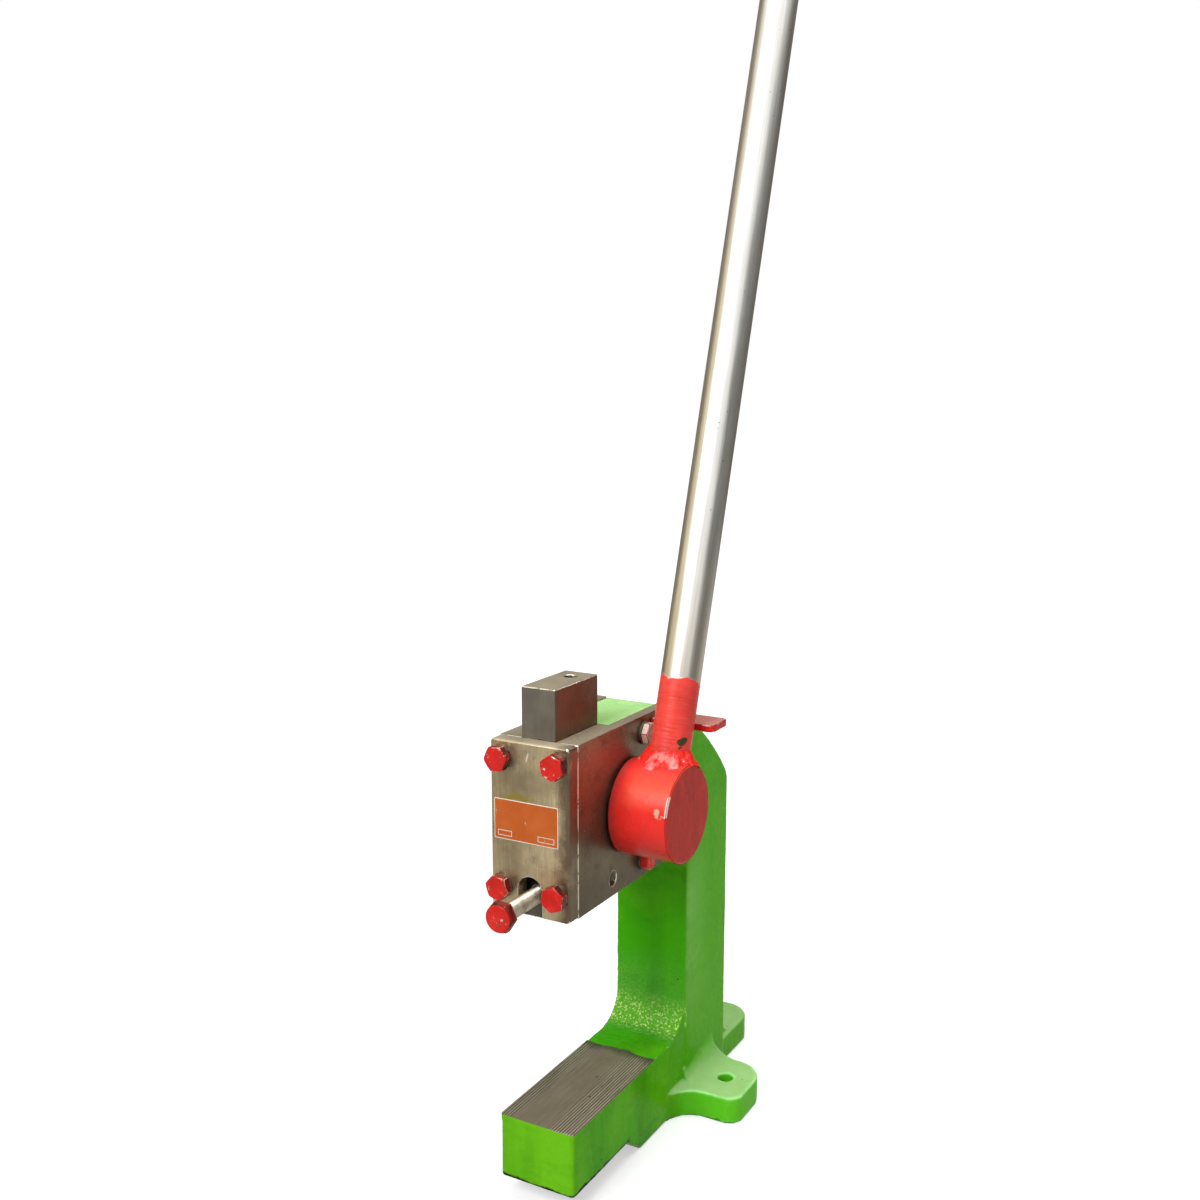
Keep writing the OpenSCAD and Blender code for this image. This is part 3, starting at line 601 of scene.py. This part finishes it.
def lever_steel():
    """Bright drawn tube whose foot is dipped in the red paint, with a painted sheen in rings on that paint.
    """
    s = Shader("lever_steel")
    upright = s.add("ShaderNodeMapping")
    s.join(s.coords, upright.inputs["Vector"])
    upright.inputs["Rotation"].default_value = (LEAN, 0, 0)
    s.coords = upright.outputs["Vector"]
    turn = Matrix.Rotation(LEAN, 3, "X")
    reach = s.along(turn @ LEVER_FOOT, (0, 0, 1))
    ragged = s.math("ADD", reach, s.mottle((60, 4, 0.6), 0.3, 0.7, -3.5 * MM, 3.5 * MM))
    painted = s.spread(ragged, PAINT_END + 0.8 * MM, PAINT_END - 0.8 * MM)
    streaks = s.noise(26, 5, 0.65, s.scaled(30, 30, 0.5))
    tarnish = s.noise(16, 5, 0.6, s.scaled(2, 2, 0.25))
    metal = s.blend(s.spread(streaks, 0.3, 0.7), DRAWN, BRIGHT)
    metal = s.blend(s.spread(tarnish, 0.50, 0.8, 0.0, 0.5), metal, TARNISH)
    metal = s.blend(s.spread(reach, PAINT_END + 90 * MM, PAINT_END, 0.0, 0.45), metal, BROWNED)
    pits = s.times(s.spread(s.cells(160), 0.10, 0.04), s.mottle((22,), 0.50, 0.56))
    metal = s.blend(pits, metal, PIT)
    rings = s.noise(20, 4, 0.6, s.scaled(2, 2, 26))
    paint = s.blend(s.mottle((38, 4), 0.38, 0.7), RED, RED_DEEP)
    # Painted sheen: pale rings following the paint's ripples
    paint = s.blend(s.spread(rings, 0.3, 0.7, 0.3, 0.7), paint, RED_PALE)
    chips = s.times(s.mottle((150, 4), 0.62, 0.66), s.mottle((26,), 0.55, 0.6))
    paint = s.blend(chips, paint, RUST)
    paint = s.blend(s.near(turn @ FOOT_CHIP, 4.2 * MM, 3 * MM), paint, FOOT_BARE)
    s.set("Base Color", s.blend(painted, metal, paint))
    s.set("Metallic", s.spread(painted, 0, 1, 0.95, 0.0))
    s.set("Specular IOR Level", 0.18)
    s.set("Roughness", s.blend_value(painted, s.spread(streaks, 0.3, 0.7, 0.28, 0.38), 0.28))
    s.set("Normal", s.bump(s.times(rings, painted), 0.9 * MM, 0.5))
    return s.mat


def cut_thread(name, gain):
    """Bare cut metal, gain is its brightness."""
    s = Shader(name)
    s.set("Base Color", s.blend(s.mottle((120, 4), 0.4, 0.7), brighter(CUT, gain), brighter(CUT_DULL, gain)))
    s.set("Metallic", 0.95)
    s.set("Roughness", s.mottle((200, 3), 0.3, 0.7, 0.25, 0.42))
    return s.mat


def dark_steel():
    """Dull steel of washers and rings."""
    s = Shader("dark_steel")
    s.set("Base Color", s.blend(s.mottle((90, 4), 0.4, 0.7), DARK, DARK_PALE))
    s.set("Metallic", 0.85)
    s.set("Roughness", s.mottle((150, 3), 0.3, 0.7, 0.35, 0.55))
    s.set("Normal", s.bump(s.noise(400, 3), 0.2 * MM, 0.3))
    return s.mat


def bronze():
    """Turned bronze of the bushes."""
    s = Shader("bronze")
    rings = s.noise(50, 4, 0.6, s.scaled(40, 4, 4))
    s.set("Base Color", s.blend(s.spread(rings, 0.3, 0.7), BRONZE, BRONZE_DEEP))
    s.set("Metallic", 1.0)
    s.set("Roughness", s.spread(rings, 0.3, 0.7, 0.25, 0.4))
    return s.mat


def label_print():
    """Faded orange print."""
    s = Shader("label_print")
    fade = s.noise(45, 5, 0.6)
    tone = s.blend(s.spread(fade, 0.4, 0.75, 0.0, 0.6), ORANGE, ORANGE_FADED)
    scuffs = s.mottle((170, 5, 0.65, s.scaled(1, 1, 0.4)), 0.66, 0.72, 0.0, 0.7)
    s.set("Base Color", s.blend(scuffs, tone, WHITE))
    s.set("Roughness", 0.42)
    s.set("Specular IOR Level", 0.2)
    s.set("Normal", s.bump(fade, 0.2 * MM, 0.2))
    return s.mat


def label_white():
    """Soiled white border of the label."""
    s = Shader("label_white")
    s.set("Base Color", s.blend(s.mottle((60, 4), 0.4, 0.7), WHITE, WHITE_SOILED))
    s.set("Roughness", 0.45)
    return s.mat


GREEN_MAT = green_enamel()
IRON_MAT = planed_iron()
RED_MAT = red_paint()
HUB_MAT = hub_paint()
WELD_MAT = red_paint("weld_paint", dull=0.4, pale=WELD_HIGHLIGHT)
STOP_MAT = red_paint("stop_paint", 0.05, pale_top=STOP_TOP)
BOLT_MAT = red_paint("bolt_paint", 0.025, base=RED_BOLT)
FRONT_BOLT_MAT = red_paint("front_bolt_paint", 0.04, base=RED_BOLT, flank=FLANK)
PLATE_MAT = ground_steel("plate_steel", (30, 30, 1.5), 1.95, marks=True)
CHEEK_MAT = ground_steel("cheek_steel", (4, 22, 22), 0.82, low=320 * MM)
RAM_MAT = ground_steel("ram_steel", (26, 26, 0.8), 1.0, RAM_FRONT, RAM_SIDE, slot_shade=296 * MM)
CHEEK_BOLT_MAT = red_paint("cheek_bolt_paint", 0.03, 350 * MM)
STEEL_EDGE = worn_edge("steel_edge", STEEL, 0.22)
RED_EDGE = worn_edge("red_edge", RED_DEEP, 0.10)
LEVER_MAT = lever_steel()
THREAD_MAT = cut_thread("bright_thread", 1.15)
HOLE_MAT = cut_thread("hole_thread", 0.65)
DARK_MAT = dark_steel()
BRONZE_MAT = bronze()
LABEL_MAT = label_print()
BORDER_MAT = label_white()

# Nodes that stay as they are: names, material, bevel in mm and material of the bevel
FINISHES = (
    (("right_cheek", "left_cheek"), CHEEK_MAT, 0.9, STEEL_EDGE),
    (("front_plate",), PLATE_MAT, 0.9, STEEL_EDGE),
    (("ram",), RAM_MAT, 0.9, STEEL_EDGE),
    (("lever_hub",), HUB_MAT, 0.7, None),
    (("lever_tube",), LEVER_MAT, 0.0, None),
    (("stop_plate",), STOP_MAT, 0.9, RED_EDGE),
    (("cheek_bolts",), CHEEK_BOLT_MAT, 0.4, RED_EDGE),
    (("front_plate_bolts",), FRONT_BOLT_MAT, 0.4, RED_EDGE),
    (("cheek_nuts",), BOLT_MAT, 0.4, RED_EDGE),
    (("front_plate_washers", "cheek_bolt_washers", "thrust_washer", "end_washer", "end_circlip",
      "hub_key"), DARK_MAT, 0.2, None),
    (("right_bush", "left_bush"), BRONZE_MAT, 0.2, None),
    (("pinion_shaft",), THREAD_MAT, 0.0, None),
)
BEVEL_ANGLE = math.radians(32)


def new_object(name, mesh, materials):
    piece = bpy.data.objects.new(name, mesh)
    bpy.context.scene.collection.objects.link(piece)
    for mat in materials:
        mesh.materials.append(mat)
    return piece


def from_grid(name, points, materials, closed_u=False, closed_v=False):
    """Quad mesh over a grid of points, rows in u and columns in v."""
    rows, cols = len(points), len(points[0])
    faces = []
    for i in range(rows if closed_u else rows - 1):
        for j in range(cols if closed_v else cols - 1):
            a, b = i, (i + 1) % rows
            c, d = j, (j + 1) % cols
            faces.append((a * cols + c, b * cols + c, b * cols + d, a * cols + d))
    mesh = bpy.data.meshes.new(name)
    mesh.from_pydata([tuple(p) for row in points for p in row], [], faces)
    mesh.validate()
    for face in mesh.polygons:
        face.use_smooth = True
    return new_object(name, mesh, materials)


def add_caps(piece, *loops):
    """Closes open ends of a mesh; each loop lists the points round one of them."""
    work = bmesh.new()
    work.from_mesh(piece.data)
    work.verts.ensure_lookup_table()
    for loop in loops:
        work.faces.new([work.verts[k] for k in loop])
    bmesh.ops.recalc_face_normals(work, faces=work.faces)
    work.to_mesh(piece.data)
    work.free()
    return piece


def welded_copy(node, name):
    """Copy of a CAD node's mesh with its split corners joined."""
    mesh = NODES[node].data.copy()
    mesh.name = name
    mesh.materials.clear()
    work = bmesh.new()
    work.from_mesh(mesh)
    bmesh.ops.remove_doubles(work, verts=work.verts, dist=SAME_POINT)
    work.to_mesh(mesh)
    work.free()
    return mesh


def roughen(co, normals):
    """Sand-cast skin, coarser at the column's foot; the head and the underside stay smooth."""
    head_rear = CHEEK_HI.y + 2 * MM
    for i in range(len(co)):
        p = Vector(co[i])
        under_head = p.z > CHEEK_LO.z - 2 * MM and p.y < head_rear
        if under_head or p.z < 1.5 * MM:
            continue
        at_foot = -75 * MM < p.y < -10 * MM and ANVIL_Z < p.z < ANVIL_Z + 75 * MM
        rough = FOOT_SKIN if at_foot else SKIN
        lift = noise.fractal(p * 190, 1.0, 2.0, 3) * rough + noise.noise(p * 26) * SKIN_WAVES
        co[i] += normals[i] * (lift - 0.1 * MM)


def soften_casting():
    """The casting with round edges and a rough skin, in the place of its sharp CAD solid."""
    piece = new_object("casting", welded_copy("frame_casting", "casting"), [])
    remesh = piece.modifiers.new("voxels", "REMESH")
    remesh.mode = "VOXEL"
    remesh.voxel_size = VOXEL
    smooth = piece.modifiers.new("round", "SMOOTH")
    smooth.factor = 0.5
    smooth.iterations = 4
    graph = bpy.context.evaluated_depsgraph_get()
    mesh = bpy.data.meshes.new_from_object(piece.evaluated_get(graph))
    piece.modifiers.clear()
    piece.data = mesh
    mesh.materials.clear()
    mesh.materials.append(GREEN_MAT)
    count = len(mesh.vertices)
    co = np.zeros(count * 3)
    mesh.vertices.foreach_get("co", co)
    normals = np.zeros(count * 3)
    mesh.vertices.foreach_get("normal", normals)
    co, normals = co.reshape(-1, 3), normals.reshape(-1, 3)
    roughen(co, normals)
    low, high = ANVIL_Z - 1.0 * MM, ANVIL_Z + 12 * MM
    sunk = (co[:, 1] < PLANED_END) & (co[:, 2] > low) & (co[:, 2] < high)
    co[sunk, 2] = low
    mesh.vertices.foreach_set("co", co.reshape(-1))
    for face in mesh.polygons:
        face.use_smooth = True
    mesh.update()
    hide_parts("frame_casting")
    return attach(piece, "frame")


def boldness(x, start, end):
    """Zero to one between two places on X, given in mm."""
    return min(1.0, max(0.0, (x - start * MM) / ((end - start) * MM)))


def groove(x):
    """Depth of the planing lines across the bar: bold beside both edges, fine between them."""
    wave = 0.5 - 0.5 * math.sin(2 * math.pi * x / LINE_PITCH)
    bold = max(boldness(x, *LINES_LEFT), boldness(x, *LINES_RIGHT))
    return -(0.05 + 0.5 * bold) * MM * wave


def plan_half(y):
    """Half width of the planed face at y, drawn in at its two round front corners."""
    r = BAR_CORNER
    d = y - BAR_FRONT
    if d >= r:
        return BAR_HALF
    return BAR_HALF - r + math.sqrt(max(0.0, r * r - (r - d) ** 2))


def planed_face():
    """Planed top of the bar with its tool lines, and a thin painted rim below its edges."""
    rows, cols = 40, 260
    skirt = 5 * MM
    proud = 0.12 * MM
    grid = []
    for i in range(rows + 1):
        y = BAR_FRONT + (PLANED_END - BAR_FRONT) * (i / rows) ** 1.6
        half = plan_half(y) + proud
        row = [Vector((-half, y - proud, ANVIL_Z - skirt))]
        for j in range(cols + 1):
            x = -half + 2 * half * j / cols
            run_out = 3 * MM * noise.noise(Vector((x * 60, 1.3, 0)))
            end = y + (run_out if i == rows else 0) - proud
            z = ANVIL_Z + groove(x) + 0.06 * MM * noise.noise(Vector((x * 300, y * 40, 0)))
            row.append(Vector((x, end, z)))
        row.append(Vector((half, y - proud, ANVIL_Z - skirt)))
        grid.append(row)
    grid.insert(0, [Vector((p.x, BAR_FRONT - proud, ANVIL_Z - skirt)) for p in grid[0]])
    piece = from_grid("planed_face", grid, [IRON_MAT, GREEN_MAT])
    for face in piece.data.polygons:
        face.material_index = 0 if abs(face.normal.z) > 0.6 else 1
        face.use_smooth = False
    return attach(piece, "frame")


def weld_bead():
    """Lumpy fillet weld where the tube meets the hub."""
    turns, steps = 180, 18
    sink = 0.4 * MM
    grid = []
    for i in range(turns):
        a = 2 * math.pi * i / turns
        ring = Vector((math.cos(a), math.sin(a), 0))
        lump = 1 + 0.07 * math.sin(a * 19 + 2.2 * math.sin(2 * a)) + 0.35 * noise.noise(ring * 2.2)
        leg_out = 8.5 * MM * lump
        leg_up = 13 * MM * (0.95 + 0.35 * noise.noise(ring * 2.7 + Vector((5, 1, 7))))
        foot = (TUBE_R + leg_out) * math.sin(a)
        low = math.sqrt(max(0.0, HUB_R ** 2 - foot ** 2)) - sink
        high = math.sqrt(HUB_R ** 2 - (TUBE_R * math.sin(a)) ** 2) + leg_up
        row = []
        for j in range(steps + 1):
            t = j / steps
            out = TUBE_R - sink + (leg_out + sink) * t ** 1.25
            hub_h = math.sqrt(max(0.0, HUB_R ** 2 - (out * math.sin(a)) ** 2))
            ripple = 0.5 + 1.1 * noise.noise(ring * 6 + Vector((0, 0, t * 3)))
            swell = math.sin(math.pi * t) * MM * ripple
            h = max(high + (low - high) * t ** 0.85 + swell, hub_h - sink)
            out += swell * 0.8
            row.append(LEVER_FOOT + Vector((out * math.cos(a), 0, 0)) + LEVER_SIDE * out * math.sin(a)
                       + LEVER_DIR * h)
        grid.append(row)
    piece = from_grid("weld_bead", grid, [WELD_MAT], closed_u=True)
    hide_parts("lever_weld")
    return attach(piece, "lever")


def stop_bead():
    """Weld run under the lever stop, in the corner with the cheek."""
    steps, sides = 60, 12
    length = WELD_HI.y - WELD_LO.y
    grid = []
    for i in range(steps + 1):
        y = WELD_LO.y + length * i / steps
        end = min(1.0, 0.35 + 6 * min(i, steps - i) / steps)
        r = 4.4 * MM * end * (1 + 0.15 * math.sin(i * 1.4) + 0.2 * noise.noise(Vector((y * 160, 0, 0))))
        row = []
        for j in range(sides + 1):
            a = -math.pi / 2 * j / sides
            row.append(Vector((WELD_LO.x + r * math.cos(a), y, WELD_HI.z + r * math.sin(a))))
        grid.append(row)
    piece = from_grid("stop_bead", grid, [RED_MAT])
    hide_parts("stop_weld")
    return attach(piece, "frame")


def thread(name, start, direction, length, major, minor, pitch, materials):
    """Cut thread along a line, as one helical surface."""
    direction = Vector(direction).normalized()
    side = direction.orthogonal().normalized()
    other = direction.cross(side)
    per_turn, steps = 36, 6
    rows = []
    for i in range(int(length / pitch * per_turn) + 1):
        a = 2 * math.pi * i / per_turn
        base = pitch * i / per_turn
        row = []
        for j in range(steps + 1):
            t = j / steps
            crest = 1 - abs(2 * t - 1)
            r = minor + (major - minor) * min(1.0, crest * 1.35)
            h = min(max(base + pitch * (t - 0.5), 0.0), length)
            row.append(Vector(start) + direction * h + (side * math.cos(a) + other * math.sin(a)) * r)
        rows.append(row)
    return from_grid(name, rows, materials)


def hex_head(name, centre, out, across, height, turn, materials):
    """Hexagon bolt head with a chamfered crown."""
    out = Vector(out).normalized()
    side = out.orthogonal().normalized()
    other = out.cross(side)
    count = 6 * 12
    flat = across / 2
    sixth = math.pi / 3
    profile = ((0, "full"), (0.10, "full"), (0.62, "full"), (0.80, "cone"),
               (0.94, "face"), (1.0, "top"), (1.0, "in"))
    rings = []
    for h, kind in profile:
        ring = []
        for k in range(count):
            a = 2 * math.pi * k / count
            r = flat / math.cos((a % sixth) - sixth / 2)
            if kind == "cone":
                r = min(r, flat * 1.075)
            elif kind == "face":
                r = min(r * 0.995, flat)
            elif kind == "top":
                r = flat * 0.93
            elif kind == "in":
                r = flat * 0.4
            b = a + turn
            ring.append(Vector(centre) + out * height * h + side * r * math.cos(b) + other * r * math.sin(b))
        rings.append(ring)
    piece = from_grid(name, rings, materials, closed_v=True)
    last = (len(rings) - 1) * count
    return add_caps(piece, range(last, last + count), reversed(range(count)))


def join_into(target, piece):
    """Moves the mesh of one piece into another, with its materials."""
    shift = len(target.data.materials)
    for mat in piece.data.materials:
        target.data.materials.append(mat)
    copy = piece.data.copy()
    for face in copy.polygons:
        face.material_index += shift
    work = bmesh.new()
    work.from_mesh(target.data)
    work.from_mesh(copy)
    bpy.data.objects.remove(piece)
    work.to_mesh(target.data)
    work.free()
    return target


def clamp_bolt():
    """Clamp bolt with a painted head and a bright cut thread."""
    centre_x = (CLAMP_LO.x + CLAMP_HI.x) / 2
    centre_z = (CLAMP_LO.z + CLAMP_HI.z) / 2
    height, across = 8.8 * MM, 22 * MM
    major, minor, pitch = 6.9 * MM, 5.75 * MM, 2.0 * MM
    seat = Vector((centre_x, CLAMP_LO.y + height, centre_z))
    head = hex_head("clamp_bolt_cut", seat, (0, -1, 0), across, height, math.radians(12), [FRONT_BOLT_MAT])
    length = CLAMP_HI.y - seat.y
    shank = thread("clamp_thread", seat, (0, 1, 0), length, major, minor, pitch, [THREAD_MAT])
    piece = join_into(head, shank)
    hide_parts("clamp_bolt")
    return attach(piece, "clamp")


def tapped_hole(name, mount, depth, body):
    """Thread lines just inside a tapped hole."""
    spec = MOUNTS[mount]
    axis = Vector(spec["axis"])
    r = spec["dims"]["r_mm"] * MM
    mouth = Vector(spec["pos_m"])
    inset, pitch = 0.4 * MM, 1.75 * MM
    if abs(axis.x) > 0.5:
        mouth.x = CHEEK_HI.x - inset
    else:
        mouth.z = RAM_TOP - inset
    piece = thread(name, mouth, -axis, depth, r - 0.02 * MM, r - 0.95 * MM, pitch, [HOLE_MAT])
    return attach(piece, body)


def rounded_outline(w, h, r, steps=8):
    points = []
    for cx, cz, start in ((w / 2 - r, h / 2 - r, 0), (-w / 2 + r, h / 2 - r, 90),
                          (-w / 2 + r, -h / 2 + r, 180), (w / 2 - r, -h / 2 + r, 270)):
        for k in range(steps + 1):
            a = math.radians(start + 90 * k / steps)
            points.append((cx + r * math.cos(a), cz + r * math.sin(a)))
    return points


def sticker(name, centre, w, h, r, thick, mat):
    """Thin printed sheet on the front plate, its edges turned down."""
    outline = rounded_outline(w, h, r)
    rings = []
    for grow, lift in ((0.0, 0.0), (0.0, 0.7), (-0.25 * MM, 1.0)):
        k = 1 + 2 * grow / w
        y = centre.y - thick * lift
        rings.append([Vector((centre.x + x * k, y, centre.z + z * k)) for x, z in outline])
    piece = from_grid(name, rings, [mat], closed_v=True)
    count = len(outline)
    add_caps(piece, range(2 * count, 3 * count))
    for face in piece.data.polygons:
        face.use_smooth = False
    return piece


def label():
    """Bare orange label with a thin pale border and two empty fields."""
    centre = Vector((-3.1 * MM, PLATE_FRONT, 330.2 * MM))
    sheets = [("label_border", (0, 0), (59, 33), 1.2, 0.25, 0.0, BORDER_MAT),
              ("label_face", (0, 0), (57.6, 31.6), 0.7, 0.15, 0.2, LABEL_MAT)]
    for side, wide in ((-1, 13), (1, 15)):
        place = (side * (26 - wide / 2), -11.3)
        sheets.append((f"field_rim_{wide}", place, (wide, 4.6), 0.4, 0.06, 0.33, BORDER_MAT))
        sheets.append((f"field_{wide}", place, (wide - 1.0, 3.6), 0.3, 0.05, 0.37, LABEL_MAT))
    for name, (x, z), (w, h), r, thick, lift, mat in sheets:
        at = centre + Vector((x, -lift, z)) * MM
        piece = sticker(name, at, w * MM, h * MM, r * MM, thick * MM, mat)
        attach(piece, "frame")


def finish_node(name, mat, bevel, edge_mat):
    """Gives a carried-over node its material and softens its sharp edges."""
    piece = NODES[name]
    piece.data.materials.clear()
    piece.data.materials.append(mat)
    for face in piece.data.polygons:
        face.material_index = 0
        face.use_smooth = True
    weld = piece.modifiers.new("weld", "WELD")
    weld.merge_threshold = SAME_POINT
    if bevel:
        flat = piece.modifiers.new("flat", "DECIMATE")
        flat.decimate_type = "DISSOLVE"
        flat.angle_limit = math.radians(0.5)
        edge = piece.modifiers.new("edge", "BEVEL")
        edge.width = bevel
        edge.segments = 2
        edge.limit_method = "ANGLE"
        edge.angle_limit = BEVEL_ANGLE
        edge.use_clamp_overlap = False
        if edge_mat:
            piece.data.materials.append(edge_mat)
            edge.material = 1
    shade = piece.modifiers.new("normals", "WEIGHTED_NORMAL")
    shade.keep_sharp = True


def dress_nodes():
    for names, mat, bevel, edge_mat in FINISHES:
        for name in names:
            finish_node(name, mat, bevel * MM, edge_mat)


def flag(name, centre, size, turn, level, tilt=0):
    """Card that only reflections see."""
    mesh = bpy.data.meshes.new(name)
    w, h = size[0] / 2, size[1] / 2
    mesh.from_pydata([(-w, 0, -h), (w, 0, -h), (w, 0, h), (-w, 0, h)], [], [(0, 1, 2, 3)])
    mat = bpy.data.materials.new(name)
    mat.use_nodes = True
    bsdf = mat.node_tree.nodes["Principled BSDF"]
    bsdf.inputs["Base Color"].default_value = (0, 0, 0, 1)
    bsdf.inputs["Specular IOR Level"].default_value = 0
    bsdf.inputs["Emission Color"].default_value = (*level, 1)
    bsdf.inputs["Emission Strength"].default_value = 1
    card = new_object(name, mesh, [mat])
    card.location = centre
    card.rotation_euler = (math.radians(tilt), 0, math.radians(turn))
    card.visible_camera = False
    card.visible_diffuse = False
    card.visible_shadow = False
    card.visible_transmission = False
    card.visible_volume_scatter = False


def camera():
    data = bpy.data.cameras.new("camera")
    data.sensor_width = 36
    data.lens = 39.456
    data.clip_start = 0.01
    view = bpy.data.objects.new("camera", data)
    view.location = (0.5341, -1.0576, 0.6661)
    view.rotation_euler = (math.radians(90 - 9.22), 0, math.radians(29.65))
    bpy.context.scene.collection.objects.link(view)
    bpy.context.scene.camera = view


def lamp(name, place, target, size, power):
    data = bpy.data.lights.new(name, "AREA")
    data.shape = "RECTANGLE"
    data.size, data.size_y = size
    data.energy = power
    light = bpy.data.objects.new(name, data)
    light.location = place
    light.rotation_euler = (Vector(target) - Vector(place)).to_track_quat("-Z", "Y").to_euler()
    bpy.context.scene.collection.objects.link(light)


def world():
    """Soft grey light on the object, and a white surround for the eye and for reflections."""
    sky = bpy.data.worlds.new("studio")
    bpy.context.scene.world = sky
    sky.use_nodes = True
    tree = sky.node_tree
    path = tree.nodes.new("ShaderNodeLightPath")
    seen = path.outputs["Is Camera Ray"]
    for ray in ("Is Glossy Ray", "Is Transmission Ray"):
        either = tree.nodes.new("ShaderNodeMath")
        either.operation = "MAXIMUM"
        tree.links.new(seen, either.inputs[0])
        tree.links.new(path.outputs[ray], either.inputs[1])
        seen = either.outputs[0]
    level = tree.nodes.new("ShaderNodeMapRange")
    tree.links.new(seen, level.inputs["Value"])
    level.inputs["To Min"].default_value = 0.42
    level.inputs["To Max"].default_value = 1.0
    back = tree.nodes["Background"]
    back.inputs["Color"].default_value = (1, 1, 1, 1)
    tree.links.new(level.outputs["Result"], back.inputs["Strength"])


def floor():
    """Pale floor that runs out to white away from the part."""
    mesh = bpy.data.meshes.new("floor")
    half = 14
    corners = [(-half, -half, 0), (half, -half, 0), (half, half, 0), (-half, half, 0)]
    mesh.from_pydata(corners, [], [(0, 1, 2, 3)])
    mat = bpy.data.materials.new("floor")
    mat.use_nodes = True
    tree = mat.node_tree
    bsdf = tree.nodes["Principled BSDF"]
    bsdf.inputs["Base Color"].default_value = (0.62, 0.62, 0.62, 1)
    bsdf.inputs["Roughness"].default_value = 0.9
    bsdf.inputs["Specular IOR Level"].default_value = 0.1
    bsdf.inputs["Emission Color"].default_value = (1, 1, 1, 1)
    coords = tree.nodes.new("ShaderNodeTexCoord")
    far = tree.nodes.new("ShaderNodeVectorMath")
    far.operation = "LENGTH"
    tree.links.new(coords.outputs["Object"], far.inputs[0])
    rise = tree.nodes.new("ShaderNodeMapRange")
    tree.links.new(far.outputs["Value"], rise.inputs["Value"])
    for key, value in (("From Min", 0.5), ("From Max", 2.2), ("To Min", 0.52), ("To Max", 0.85)):
        rise.inputs[key].default_value = value
    path = tree.nodes.new("ShaderNodeLightPath")
    scale = tree.nodes.new("ShaderNodeMath")
    scale.operation = "MULTIPLY"
    tree.links.new(path.outputs["Is Camera Ray"], scale.inputs[0])
    tree.links.new(rise.outputs["Result"], scale.inputs[1])
    tree.links.new(scale.outputs[0], bsdf.inputs["Emission Strength"])
    piece = new_object("floor", mesh, [mat])
    piece.location.z = -0.2 * MM


bpy.context.scene.view_settings.view_transform = "Standard"
soften_casting()
planed_face()
weld_bead()
stop_bead()
clamp_bolt()
tapped_hole("lock_thread", "ram_lock_hole", 15 * MM, "frame")
tapped_hole("ram_thread", "ram_top_hole", 20 * MM, "ram")
label()
dress_nodes()
floor()
camera()
world()
flag("back_card", (0.1, 1.5, 1.3), (3.2, 2.2), 0, (0.10, 0.09, 0.075))
flag("left_card", (-1.9, 0.75, 1.4), (2.2, 2.6), 90, (0.13, 0.11, 0.07))
flag("warm_card", (-1.9, -1.25, 1.4), (1.8, 2.6), 90, (0.72, 0.60, 0.36))
flag("front_card", (0.3, -3.4, 0.7), (7.0, 1.6), 0, (0.40, 0.39, 0.36))
flag("right_card", (2.6, 0.7, 1.1), (3.4, 2.8), 90, (0.13, 0.13, 0.12))
flag("floor_card", (0, 0, 0.1 * MM), (6.0, 6.0), 0, (0.62, 0.60, 0.56), 90)
lamp("key", (-0.35, -2.1, 2.0), (0, -0.1, 0.3), (1.2, 1.2), 54)
lamp("top", (0.3, 0.3, 2.4), (0, 0, 0.2), (1.4, 1.4), 30)
